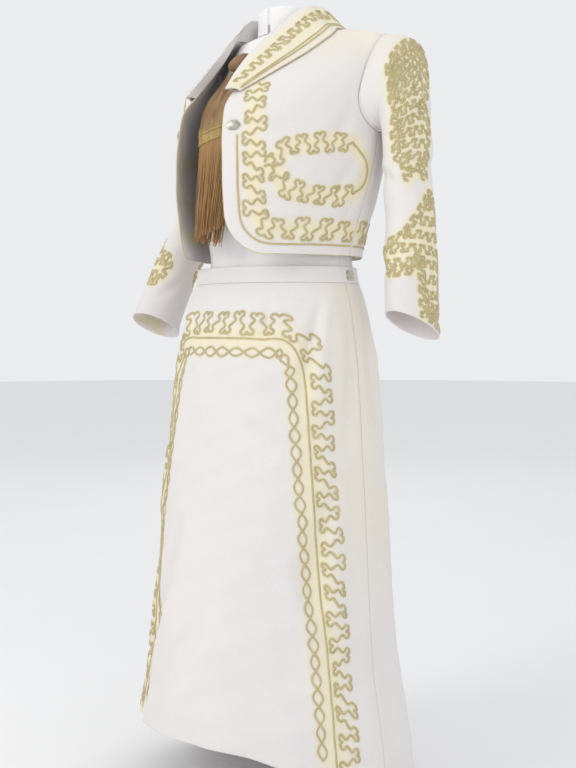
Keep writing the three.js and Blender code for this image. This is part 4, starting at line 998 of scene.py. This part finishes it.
class SuitSizes(bpy.types.PropertyGroup):
    """Sizes of the suit's cloth and trim."""
    jacket_wall: length_property("Jacket cloth", "Thickness of the jacket's cloth", 2.2)
    skirt_wall: length_property("Skirt cloth", "Thickness of the skirt's cloth", 1.8)
    blouse_wall: length_property("Blouse cloth", "Thickness of the blouse's cloth", 1.2)
    satin_wall: length_property("Bow tie satin", "Thickness of the bow tie's satin", 1.4)
    braid_width: length_property("Braid width", "Width of the gold soutache", 4.0)
    braid_height: length_property("Braid height", "How far the soutache stands up", 1.7)
    strand_width: length_property("Strand", "Thickness of a strand of the fringe", 1.9)
    jacket_cell: length_property("Jacket cell", "Size of the jacket's mesh cells", 5.0)
    skirt_cell: length_property("Skirt cell", "Size of the skirt's mesh cells", 7.5)


class SuitColours(bpy.types.PropertyGroup):
    """Colours of the suit's cloth and trim."""
    ivory: colour_property("Ivory", "Jacket and skirt cloth", (.765, .735, .71))
    # Ivory shade colours both the cloth's random darker patches and the painted shade on the jacket's sides, the
    # sleeves, the skirt and the waistband.
    ivory_shade: colour_property("Ivory shade", "Darker patches of the ivory cloth", (.60, .575, .59))
    # The wrong side is lighter than the face cloth: its lavender-grey tone is its own, the extra lightness is
    # painted light standing in for light inside the jacket.
    inside: colour_property("Wrong side", "Inner face of the jacket's cloth", (.90, .85, .86))
    inside_shade: colour_property("Wrong side shade", "Darker patches of the inner face", (.80, .75, .77))
    # Gold cast also colours the painted warm light on the left shoulder and left sleeve and the painted warm
    # shade down the skirt's left side.
    warm: colour_property("Gold cast", "Cast of the cloth between loops of braid", (.82, .745, .47))
    braid: colour_property("Braid", "Gold soutache", (.72, .63, .36))
    braid_shade: colour_property("Braid shade", "Between the strands of the soutache", (.43, .345, .14))
    header: colour_property("Fringe header", "Woven head of the fringe", (.52, .38, .12))
    satin: colour_property("Satin", "Bow tie satin", (.34, .215, .082))
    satin_shade: colour_property("Satin shade", "Darker patches of the satin", (.15, .065, .018))
    fringe: colour_property("Fringe", "Silk fringe", (.46, .25, .07))
    fringe_shade: colour_property("Fringe shade", "Darker strands of the fringe", (.20, .09, .02))
    cotton: colour_property("Cotton", "Blouse", (.87, .86, .845))
    silver: colour_property("Silver", "Clasps and hook", (.62, .59, .50))
    silver_shade: colour_property("Silver shade", "Tarnish on the clasps", (.20, .18, .14))
    floor: colour_property("Floor", "Studio floor", (.86, .86, .86))


# ---------- operators ----------
class SuitOperator:
    bl_options = {"REGISTER", "UNDO"}


def jacket_tints(points, hand):
    trails = [TRAILS["row", hand]] + ([TRAILS["chest", hand]] if hand else [])
    gold = .9 * nearness(points, trails, 30)
    x, y, z = np.moveaxis(points, -1, 0)
    # Painted warm light: the top of the left front by the shoulder, on the side toward the light, is tinted
    # warm; the right front gets none.
    shoulder = .42 * smooth((z + 110) / 90) * smooth((x - 40) / 120)
    shade = .22 * smooth((np.abs(x) - 165) / 50) * smooth((-z - 90) / 80)
    return {"gold": np.maximum(gold, shoulder), "shade": shade}


class SUIT_OT_jacket(SuitOperator, bpy.types.Operator):
    """Cuts the two fronts and the back of the jacket"""
    bl_idname = "suit.jacket"
    bl_label = "Jacket"

    def execute(self, context):
        sizes = context.scene.suit_sizes
        cloth = [finish("Ivory wool"), finish("Wool wrong side")]
        spans = {
            "front_left": (1, lambda z: (
                front_edge_angle(1, z), 90 - SEAM_HALF_ANGLE - ARMHOLE_FRONT * armhole_share(z))),
            "front_right": (-1, lambda z: (
                front_edge_angle(-1, z), -90 + SEAM_HALF_ANGLE + ARMHOLE_FRONT * armhole_share(z))),
            "back": (0, lambda z: (90 + SEAM_HALF_ANGLE + ARMHOLE_BACK * armhole_share(z),
                                   270 - SEAM_HALF_ANGLE - ARMHOLE_BACK * armhole_share(z))),
        }
        for name, (hand, span) in spans.items():
            u, v = lay_out(JACKET, (JACKET_TOP, JACKET_HEM), span, sizes.jacket_cell / MM)
            tints = jacket_tints(JACKET.surface(u, v), hand)
            piece, cut = cloth_piece(
                f"jacket_{name}_cloth", JACKET, u, v, sizes.jacket_wall / MM, cloth, tints=tints)
            hand_in(piece, "ivory_cloth", f"jacket_{name}")
            declare(cut)
        return {"FINISHED"}


class SUIT_OT_sleeves(SuitOperator, bpy.types.Operator):
    """Cuts both sleeves and sets them over the armholes"""
    bl_idname = "suit.sleeves"
    bl_label = "Sleeves"

    def execute(self, context):
        sizes = context.scene.suit_sizes
        for hand, side in SIDES:
            cloth = SLEEVES[hand]
            u, v = lay_out(cloth, (0, 11), lambda row: (0 * row, 0 * row + 360), sizes.jacket_cell / MM)
            points = cloth.surface(u, v)
            x, y, z = np.moveaxis(points, -1, 0)
            figures = (SHOULDER, FOREARM)
            rims = [sleeve_rim(cloth, figure) for figure in figures]
            inside = sum(smooth((figure_reach(figure, v) + 5 - np.abs(turn_to(u, figure["angle"]))) / 8)
                         for figure in figures)
            # Painted warm light on the top of the left sleeve, the side toward the light; the right sleeve gets
            # none.
            cast = .34 * smooth((z + 130) / 110) * smooth(v - .2) * (hand > 0)
            tints = {"gold": np.maximum(cast, .85 * np.maximum(nearness(points, rims, 20), inside)),
                     "shade": .14 * smooth((v - 7) / 4) + .10 * (hand < 0)}
            piece, cut = cloth_piece(f"sleeve_{side}_cloth", cloth, u, v, sizes.jacket_wall / MM,
                                     [finish("Ivory wool"), finish("Wool wrong side")], closed=True, tints=tints)
            hand_in(piece, "ivory_cloth", f"sleeve_{side}")
            declare(cut)
        return {"FINISHED"}


class SUIT_OT_collar(SuitOperator, bpy.types.Operator):
    """Cuts and rolls both halves of the shawl collar"""
    bl_idname = "suit.collar"
    bl_label = "Shawl collar"

    def execute(self, context):
        for hand, side in SIDES:
            cloth = COLLARS[hand]
            u, v = lay_out(cloth, COLLAR_ENDS, lambda t: (0 * t, 0 * t + 1), 4)
            tints = {"gold": .75 * smooth((u - .40) / .1) * (1 - .5 * smooth((u - .9) / .05)), "shade": 0 * u}
            piece, cut = cloth_piece(f"collar_{side}_cloth", cloth, u, v, COLLAR_WALL, [finish("Ivory wool")],
                                     tints=tints)
            hand_in(piece, "ivory_cloth", f"collar_{side}")
            declare(cut)
        return {"FINISHED"}


class SUIT_OT_skirt(SuitOperator, bpy.types.Operator):
    """Cuts the skirt's front and back and its waistband"""
    bl_idname = "suit.skirt"
    bl_label = "Skirt"

    def execute(self, context):
        sizes = context.scene.suit_sizes
        for name, start, end in (("front", -90, 90), ("back", 90, 270)):
            inset = SKIRT_SEAM_HALF_ANGLE
            u, v = lay_out(SKIRT, (0, 1), lambda d: (0 * d + start + inset, 0 * d + end - inset),
                           sizes.skirt_cell / MM)
            points = SKIRT.surface(u, v)
            turn = turn_to(u, 0)
            gold = .8 * nearness(points, [TRAILS["arch"]], 52) if name == "front" else 0 * u
            # Painted warm shade: a beige band down the skirt's left side, where it turns from the light and
            # takes a warm reflection.
            painted_warm_side_shade = .35 * bump((turn - 92) / 42) * (1 - smooth((v - .45) / .3))
            tints = {"gold": np.maximum(gold, painted_warm_side_shade),
                     "shade": .16 * smooth((np.abs(turn + 60) - 60) / 60) * smooth(v * 2)}
            piece, cut = cloth_piece(f"skirt_{name}_cloth", SKIRT, u, v, sizes.skirt_wall / MM,
                                     [finish("Ivory wool"), finish("Wool wrong side")], tints=tints)
            hand_in(piece, "ivory_cloth", f"skirt_{name}")
            declare(cut)
        u, v = lay_out(WAIST, (WAIST_TOP, WAIST_BOTTOM), lambda z: (0 * z, 0 * z + 360), 4)
        piece, cut = cloth_piece("waistband_cloth", WAIST, u, v, 2.4, [finish("Ivory wool")], closed=True,
                                 tints={"gold": 0 * u, "shade": 0 * u + .08})
        hand_in(piece, "ivory_cloth", "waistband")
        declare(cut)
        return {"FINISHED"}


class SUIT_OT_blouse(SuitOperator, bpy.types.Operator):
    """Cuts the blouse's front, back and standing collar"""
    bl_idname = "suit.blouse"
    bl_label = "Blouse"

    def execute(self, context):
        sizes = context.scene.suit_sizes
        cotton = [finish("White cotton")]
        for name, start, end, hole in (("front", -90, 90, ARMHOLE_FRONT), ("back", 90, 270, ARMHOLE_BACK)):
            def span(z, start=start, end=end, hole=hole):
                inset = SEAM_HALF_ANGLE + (hole + BLOUSE_ARMHOLE_GROWTH) * armhole_share(z)
                return start + inset, end - inset
            u, v = lay_out(BLOUSE, (-2, -450), span, 7)
            piece, cut = cloth_piece(f"blouse_{name}_cloth", BLOUSE, u, v, sizes.blouse_wall / MM, cotton,
                                     tints={"gold": 0 * u, "shade": 0 * u})
            hand_in(piece, "white_cotton", f"blouse_{name}")
            declare(cut)
        cloth = Cloth(blouse_collar_form, 1, (.2, .01))
        b = BLOUSE_COLLAR
        u, v = lay_out(cloth, (0, 1), lambda up: (0 * up + b["opening"], 0 * up + 360 - b["opening"]), 4)
        piece, cut = cloth_piece("blouse_collar_cloth", cloth, u, v, b["wall"], cotton,
                                 tints={"gold": 0 * u, "shade": 0 * u})
        hand_in(piece, "white_cotton", "blouse_collar")
        declare(cut)
        return {"FINISHED"}


class SUIT_OT_bow_tie(SuitOperator, bpy.types.Operator):
    """Ties the satin bow tie: its knot and two pleated tails"""
    bl_idname = "suit.bow_tie"
    bl_label = "Bow tie"

    def execute(self, context):
        sizes = context.scene.suit_sizes
        satin = finish("Bronze satin")
        deselect()
        bpy.ops.mesh.primitive_uv_sphere_add(segments=72, ring_count=48, radius=1, calc_uvs=True)
        knot = context.object
        knot.name = knot.data.name = "tie_knot_satin"
        for corner in knot.data.vertices:
            x, y, z = corner.co
            wrap = .10 * math.cos(x * 9) + .05 * math.cos(x * 21 + 2 * z) + .03 * math.sin(x * 33 - z * 3)
            round_off = 1 - wrap * (1 - abs(z)) - .10 * x * x
            corner.co = (
                (KNOT["middle"][0] + x * KNOT["width"] / 2) * MM,
                (KNOT["middle"][1] + y * KNOT["thick"] / 2 * round_off) * MM,
                (KNOT["middle"][2] + z * KNOT["height"] / 2 * round_off + 2.2 * math.sin(x * 2.4)) * MM)
        knot.data.materials.append(satin)
        soften(knot, 80)
        hand_in(knot, "bronze_satin", "tie_knot")
        for tail in TAILS:
            cloth = Cloth(tail_form(tail), -1, (.004, .004), tail_relief(tail))
            u, v = lay_out(cloth, (0, 1), lambda t: (0 * t - 1, 0 * t + 1), 2)
            piece, cut = cloth_piece(
                f"tie_tail_{tail['name']}_satin", cloth, u, v, sizes.satin_wall / MM, [satin])
            hand_in(piece, "bronze_satin", f"tie_tail_{tail['name']}")
            declare(cut)
        return {"FINISHED"}


class SUIT_OT_fringe(SuitOperator, bpy.types.Operator):
    """Hangs the silk fringe from its woven header on both tails"""
    bl_idname = "suit.fringe"
    bl_label = "Fringe"

    def execute(self, context):
        width = context.scene.suit_sizes.strand_width / MM
        for number, tail in enumerate(TAILS):
            foot = tail_form(tail)

            def header_form(u, v):
                p = foot(u, 0 * v + 1)
                p[..., 2] -= HEADER_GAP + v * HEADER_HEIGHT
                return p
            def ribs(u, v):
                return .35 * np.abs(np.sin(u * 52)) * (.4 + np.abs(np.sin(v * 9)))
            cloth = Cloth(header_form, -1, (.004, .02), ribs)
            u, v = lay_out(cloth, (0, 1), lambda t: (0 * t - 1, 0 * t + 1), 1.2)
            header, _ = cloth_piece("header", cloth, u, v, HEADER_WALL, [finish("Header braid")],
                                    tints={"shade": 0 * u})
            parts = [header]
            across = np.linspace(-1, 1, 60)
            for share in (.03, .30, .97):
                line = Cloth(header_form, -1, (.004, .02))
                up = line.normal(across, 0 * across + share)
                centre = line.surface(across, 0 * across + share) + up * .5
                side = unit(np.cross(up, np.gradient(centre, axis=0)))
                cord = sweep("header_cord", centre, side, up, ROUND, 2.6, 1.3)
                cord.data.materials.append(finish("Header braid"))
                parts.append(cord)
            count = 96
            for k in range(count):
                layer = k % 3
                at = mix(-.97, .97, (k + .5) / count)
                root = foot(np.array(at), np.array(1.))
                root = root + np.array([0, 1.5, -HEADER_HEIGHT * .8])
                uneven = math.sin(k * 2.4 + tail["wave"]) + .6 * math.sin(k * 5.1)
                length = tail["length"] - HEADER_HEIGHT * .8 - tail["slope"] * at / 2 + 4 * uneven - 2 * layer
                lock = 1.5 * math.sin(k * .55 + number)
                drift_x = -6 - at * 9 + 1.6 * math.sin(k * 1.7) + lock
                drift_y = -13 + (layer - 1) * 3 + math.sin(k * 3.1)
                f = np.linspace(0, 1, 10)
                sway = .9 * np.sin(f * 9 + k * 1.3) * f
                ripple = .6 * np.cos(f * 8 + k) * f
                centre = place(root[0] + drift_x * f ** 1.4 + sway, root[1] + drift_y * f + ripple,
                               root[2] - length * f)
                side = np.tile([1., 0, 0], (len(f), 1))
                up = np.tile([0, -1., 0], (len(f), 1))
                strand = sweep("strand", centre, side, up, ROUND, width, width / 2, 1 - .35 * f)
                layer_tint = strand.data.attributes.new("shade", "FLOAT", "POINT")
                tint = .5 * (.5 + .5 * math.sin(k * 7.3 + number)) + .12 * (2 - layer)
                layer_tint.data.foreach_set("value", np.full(len(strand.data.vertices), tint, np.float32))
                strand.data.materials.append(finish("Silk fringe"))
                parts.append(strand)
            piece = join(parts, f"tie_fringe_{tail['name']}_silk")
            soften(piece, 60)
            hand_in(piece, "bronze_fringe", f"tie_fringe_{tail['name']}")
        return {"FINISHED"}


ROWS_OF_LOOPS = {"jacket": (37, 16), "chest": (33, 14.5), "collar": (21, 9.5), "skirt": (38, 16.5)}
LINE_WIDTH = {"jacket": 3.4, "collar loops": 3.6, "collar outer": 3.2, "collar inner": 2.6, "skirt": 3.2}
CHAIN = dict(start=20, pitch=28, aside=-23.5, reach=7.6)
ARMHOLE_ROLL = dict(wall=1.2, width=3.4)


def row_of_loops(name, hand):
    """Pitch and reach of a row of loops, turned over on the right."""
    pitch, reach = ROWS_OF_LOOPS[name]
    return dict(pitch=pitch, reach=reach * hand)


def braid_piece(name, parts, *nodes, slot="gold_braid"):
    piece = join(parts, name)
    piece.data.materials.clear()
    piece.data.materials.append(finish("Gold soutache"))
    soften(piece, 75)
    return hand_in(piece, slot, *nodes)


class SUIT_OT_jacket_braid(SuitOperator, bpy.types.Operator):
    """Lays the borders and chest figures of soutache on the jacket"""
    bl_idname = "suit.jacket_braid"
    bl_label = "Jacket braid"

    def execute(self, context):
        for hand, side in (*SIDES, (0, "back")):
            line, row = TRAILS["line", hand], TRAILS["row", hand]
            cord = plain_line(line, 0, line.length, width=LINE_WIDTH["jacket"])
            braid_piece(f"jacket_line_{side}_braid", [cord], f"jacket_line_{side}")
            loops = serpentine(2, row.length - 2, **row_of_loops("jacket", hand or 1), wave=hand * 2)
            braid_piece(f"jacket_serpentine_{side}_braid", [braid(row, *loops)], f"jacket_serpentine_{side}")
            if hand:
                chest = TRAILS["chest", hand]

                def ease(f):
                    plain = smooth((f - .345) / .03) * (1 - smooth((f - .595) / .03))
                    return (1 - plain) * (.25 + .75 * smooth(f / .07) * smooth((1 - f) / .07))
                loops = serpentine(2, chest.length - 2, **row_of_loops("chest", hand), ease=ease, wave=1)
                braid_piece(f"chest_braid_{side}_loops", [braid(chest, *loops)], f"chest_braid_{side}")
        return {"FINISHED"}


class SUIT_OT_collar_braid(SuitOperator, bpy.types.Operator):
    """Lays the loops and the double line on the collar"""
    bl_idname = "suit.collar_braid"
    bl_label = "Collar braid"

    def execute(self, context):
        for hand, side in SIDES:
            row = collar_trail(hand, .63, .955)
            line = collar_trail(hand, .9, .975)

            def ease(f):
                return 1 - .42 * smooth((f - .6) / .4)
            loops = serpentine(3, row.length, **row_of_loops("collar", hand), ease=ease, wave=hand)
            cord = braid(row, *loops, width=LINE_WIDTH["collar loops"])
            braid_piece(f"collar_serpentine_{side}_braid", [cord], f"collar_serpentine_{side}")
            inner = collar_trail(hand, .855, .965)
            cords = [plain_line(line, 0, line.length, width=LINE_WIDTH["collar outer"]),
                     plain_line(inner, 0, inner.length, width=LINE_WIDTH["collar inner"])]
            braid_piece(f"collar_line_{side}_braid", cords, f"collar_line_{side}")
        return {"FINISHED"}


class SUIT_OT_sleeve_braid(SuitOperator, bpy.types.Operator):
    """Lays the shoulder and forearm figures of soutache on the sleeves"""
    bl_idname = "suit.sleeve_braid"
    bl_label = "Sleeve braid"

    def execute(self, context):
        for hand, side in SIDES:
            for name, figure in (("shoulder", SHOULDER), ("forearm", FOREARM)):
                braid_piece(f"{name}_braid_{side}_loops", sleeve_figure(SLEEVES[hand], figure),
                            f"{name}_braid_{side}")
        return {"FINISHED"}


class SUIT_OT_skirt_braid(SuitOperator, bpy.types.Operator):
    """Lays the arch of line, loops and chain on the skirt's front"""
    bl_idname = "suit.skirt_braid"
    bl_label = "Skirt braid"

    def execute(self, context):
        arch = TRAILS["arch"]
        cord = plain_line(arch, 4, arch.length - 4, width=LINE_WIDTH["skirt"], step=4)
        braid_piece("skirt_line_braid", [cord], "skirt_line")
        loops = serpentine(4, arch.length - 4, **row_of_loops("skirt", 1), aside=26, wave=.7)
        braid_piece("skirt_serpentine_braid", [braid(arch, *loops)], "skirt_serpentine")
        start, end = CHAIN["start"], arch.length - CHAIN["start"]
        ovals = round((end - start) / CHAIN["pitch"])
        phase = np.linspace(0, ovals, ovals * 16)
        parts = []
        for sign in (1, -1):
            lengths = start + (end - start) * phase / ovals
            uneven = 1 + .1 * np.sin(phase * 1.7)
            aside = CHAIN["aside"] + sign * CHAIN["reach"] * np.sin(phase * math.pi) * uneven
            parts.append(braid(arch, lengths, aside, width=LINE_WIDTH["skirt"], lift=.1 + .5 * (sign > 0)))
        braid_piece("skirt_chain_braid", parts, "skirt_chain")
        return {"FINISHED"}


def edge_cord(name, cloth, u, v, wall, width=2.4):
    """Piping sewn along an edge, its middle in the middle of the cloth's wall."""
    up = cloth.normal(u, v)
    centre = cloth.surface(u, v) - up * wall / 2
    side = unit(np.cross(up, unit(np.gradient(centre, axis=0))))
    return sweep(name, centre, side, up, ROUND, width, width / 2)


class SUIT_OT_piping(SuitOperator, bpy.types.Operator):
    """Pipes the front edges, the hem and the collar, and rolls the armholes' seams"""
    bl_idname = "suit.piping"
    bl_label = "Piping"

    def execute(self, context):
        wall = context.scene.suit_sizes.jacket_wall / MM
        for hand, side in SIDES:
            turn = np.linspace(0, math.pi / 2, 30)
            heights = np.concatenate([np.linspace(-142, JACKET_HEM + CORNER_RADIUS, 60)[:-1],
                                      JACKET_HEM + CORNER_RADIUS * (1 - np.sin(turn))])
            angles = front_edge_angle(hand, heights)
            hem = np.linspace(angles[-1], hand * (90 - SEAM_HALF_ANGLE), 40)[1:]
            u, v = np.concatenate([angles, hem]), np.concatenate([heights, 0 * hem + JACKET_HEM])
            braid_piece(f"jacket_piping_{side}", [edge_cord("piping", JACKET, u, v, wall)])
            t = np.linspace(*COLLAR_ENDS, 120)
            cord = edge_cord("piping", COLLARS[hand], 0 * t + 1, t, COLLAR_WALL, 2.6)
            braid_piece(f"collar_piping_{side}", [cord])
            around = np.linspace(0, 360, 161)
            seam = edge_cord(f"sleeve_seam_{side}_cloth", SLEEVES[hand], around, 0 * around + .02,
                             ARMHOLE_ROLL["wall"], ARMHOLE_ROLL["width"])
            seam.data.materials.clear()
            seam.data.materials.append(finish("Ivory wool"))
            soften(seam, 75)
            hand_in(seam, "ivory_cloth")
        hem = np.linspace(90 + SEAM_HALF_ANGLE, 270 - SEAM_HALF_ANGLE, 90)
        braid_piece("jacket_piping_back", [edge_cord("piping", JACKET, hem, 0 * hem + JACKET_HEM, wall)])
        return {"FINISHED"}


CLASP_INSET = 19
CLASP = dict(z=-198, width=24, height=17, thick=1.8, lift=.4, lobes=6)
WAIST_HOOK = dict(angle=98, width=24, height=17, thick=.8, lift=.4, lobes=0, corners=6)


def clasp_piece(name, cloth, angle, z, width, height, thick, lift, lobes, node, corners=2.):
    """A plate with a cut rim, a raised middle and a beaded ring, shaped from a disc; corners squares it."""
    along_u, along_v = (np.linalg.norm(a) for a in cloth.slopes(np.array(angle), np.array(z)))
    out = cloth.normal(np.array(angle), np.array(z))

    def settle(part, reach=1.):
        for corner in part.data.vertices:
            x, y, h = corner.co
            spot_u, spot_v = angle + x * width / 2 * reach / along_u, z + y * height / 2 * reach / along_v
            corner.co = (cloth.surface(spot_u, spot_v) + out * (lift + h)) * MM
    deselect()
    bpy.ops.mesh.primitive_circle_add(vertices=72, radius=1, fill_type="NGON")
    plate = bpy.context.object
    edit(plate, (bpy.ops.mesh.inset, dict(thickness=.12)), (bpy.ops.mesh.inset, dict(thickness=.16)),
         (bpy.ops.mesh.inset, dict(thickness=.26)), (bpy.ops.mesh.inset, dict(thickness=.2)))
    for corner in plate.data.vertices:
        x, y, _ = corner.co
        r, a = math.hypot(x, y), math.atan2(y, x)
        squared = (abs(math.cos(a)) ** corners + abs(math.sin(a)) ** corners) ** (-1 / corners)
        scallop = squared - .05 * (1 - math.cos(lobes * a)) * smooth((r - .6) / .3)
        dome = thick * (.55 + .75 * smooth((.95 - r) / .35) - .5 * bump((r - .62) / .2)
                        + .5 * smooth((.3 - r) / .3))
        corner.co = (x * scallop, y * scallop, float(dome))
    edit(plate, (bpy.ops.mesh.extrude_region_move, dict(TRANSFORM_OT_translate={"value": (0, 0, 0)})))
    settle(plate)
    plate.data.update()
    modify(plate, "SOLIDIFY", thickness=.9 * MM, offset=-1)
    deselect()
    bpy.ops.mesh.primitive_torus_add(major_radius=.5, minor_radius=.06, major_segments=48, minor_segments=8)
    ring = bpy.context.object
    for corner in ring.data.vertices:
        x, y, h = corner.co
        bead = 1 + .25 * math.cos(24 * math.atan2(y, x))
        corner.co = (x, y, thick * 1.05 + h * width / 2 * bead)
    settle(ring)
    piece = join([plate, ring], name)
    edit(piece, (bpy.ops.mesh.remove_doubles, dict(threshold=1e-6)),
         (bpy.ops.mesh.normals_make_consistent, dict(inside=False)))
    piece.data.materials.append(finish("Old silver"))
    soften(piece, 40)
    return hand_in(piece, "clasp_metal", node)


class SUIT_OT_fastenings(SuitOperator, bpy.types.Operator):
    """Sets the clasp's two halves and the hook of the waistband"""
    bl_idname = "suit.fastenings"
    bl_label = "Fastenings"

    def execute(self, context):
        for hand, side in SIDES:
            angle = float(angle_from_edge(hand, CLASP_INSET, CLASP["z"]))
            clasp_piece(f"clasp_{side}_metal", JACKET, angle, **CLASP, node=f"clasp_{side}")
        middle = (WAIST_TOP + WAIST_BOTTOM) / 2
        clasp_piece("waist_hook_metal", WAIST, z=middle, **WAIST_HOOK, node="waist_hook")
        return {"FINISHED"}


class SUIT_OT_stage(SuitOperator, bpy.types.Operator):
    """Sets the floor, the soft studio light and the camera"""
    bl_idname = "suit.stage"
    bl_label = "Stage"

    def execute(self, context):
        scene = context.scene
        deselect()
        bpy.ops.mesh.primitive_circle_add(vertices=96, radius=14, fill_type="NGON", location=(0, 0, -1.352))
        floor = context.object
        floor.name = "floor"
        bpy.ops.object.transform_apply(location=True)
        floor.data.materials.append(floor_finish("Studio floor", scene.suit_colours.floor))
        world = bpy.data.worlds.new("Studio")
        world.use_nodes = True
        world.node_tree.nodes["Background"].inputs["Color"].default_value = (.97, .98, 1, 1)
        world.node_tree.nodes["Background"].inputs["Strength"].default_value = .86
        scene.world = world
        scene.view_settings.view_transform = "Standard"
        for name, spot, size, power, tone in (
                ("key light", (-.9, -2.9, 1.3), 1.6, 34, (1, .985, .96)),
                ("fill light", (3.2, -1.4, -.1), 2.0, 20, (.95, .96, 1)),
                ("top light", (-.6, -.4, 3.0), 2.6, 5, (1, 1, 1)),
                ("back light", (-2.6, 2.8, 1.2), 2.4, 8, (1, 1, 1))):
            light = bpy.data.lights.new(name, "AREA")
            light.shape, light.size, light.energy, light.color = "DISK", size, power, tone
            lamp = bpy.data.objects.new(name, light)
            scene.collection.objects.link(lamp)
            lamp.location = spot
            aim = np.array([0, 0, -.6]) - np.array(spot)
            lamp.rotation_euler = (math.atan2(math.hypot(aim[0], aim[1]), -aim[2]), 0,
                                   math.atan2(aim[1], aim[0]) - math.pi / 2)
        camera = bpy.data.cameras.new("camera")
        camera.sensor_fit, camera.sensor_width, camera.lens = "AUTO", 36, 49.2
        camera.shift_x, camera.shift_y = .0156, -.0768
        camera.dof.use_dof = False
        holder = bpy.data.objects.new("camera", camera)
        scene.collection.objects.link(holder)
        holder.location = (1.2958, -1.3896, -.526)
        holder.rotation_euler = (math.radians(90), 0, math.radians(43))
        scene.camera = holder
        return {"FINISHED"}


OPERATORS = (
    SUIT_OT_stage, SUIT_OT_jacket, SUIT_OT_sleeves, SUIT_OT_collar, SUIT_OT_skirt, SUIT_OT_blouse,
    SUIT_OT_bow_tie, SUIT_OT_fringe, SUIT_OT_jacket_braid, SUIT_OT_collar_braid, SUIT_OT_sleeve_braid,
    SUIT_OT_skirt_braid, SUIT_OT_piping, SUIT_OT_fastenings,
)


class SUIT_PT_sidebar(bpy.types.Panel):
    """The suit's pieces, sizes and colours"""
    bl_idname = "SUIT_PT_sidebar"
    bl_label = "Mariachi Suit"
    bl_space_type = "VIEW_3D"
    bl_region_type = "UI"
    bl_category = "Mariachi Suit"

    def draw(self, context):
        for operator in OPERATORS:
            self.layout.operator(operator.bl_idname)
        for group in (context.scene.suit_sizes, context.scene.suit_colours):
            for key in group.bl_rna.properties.keys():
                if key not in ("rna_type", "name"):
                    self.layout.prop(group, key)


CLASSES = (SuitSizes, SuitColours, *OPERATORS, SUIT_PT_sidebar)


def register():
    for cls in CLASSES:
        bpy.utils.register_class(cls)
    bpy.types.Scene.suit_sizes = bpy.props.PointerProperty(type=SuitSizes)
    bpy.types.Scene.suit_colours = bpy.props.PointerProperty(type=SuitColours)


def unregister():
    del bpy.types.Scene.suit_colours
    del bpy.types.Scene.suit_sizes
    for cls in reversed(CLASSES):
        bpy.utils.unregister_class(cls)


def main():
    register()
    for operator in OPERATORS:
        group, name = operator.bl_idname.split(".")
        getattr(getattr(bpy.ops, group), name)()


if __name__ == "__main__":
    main()
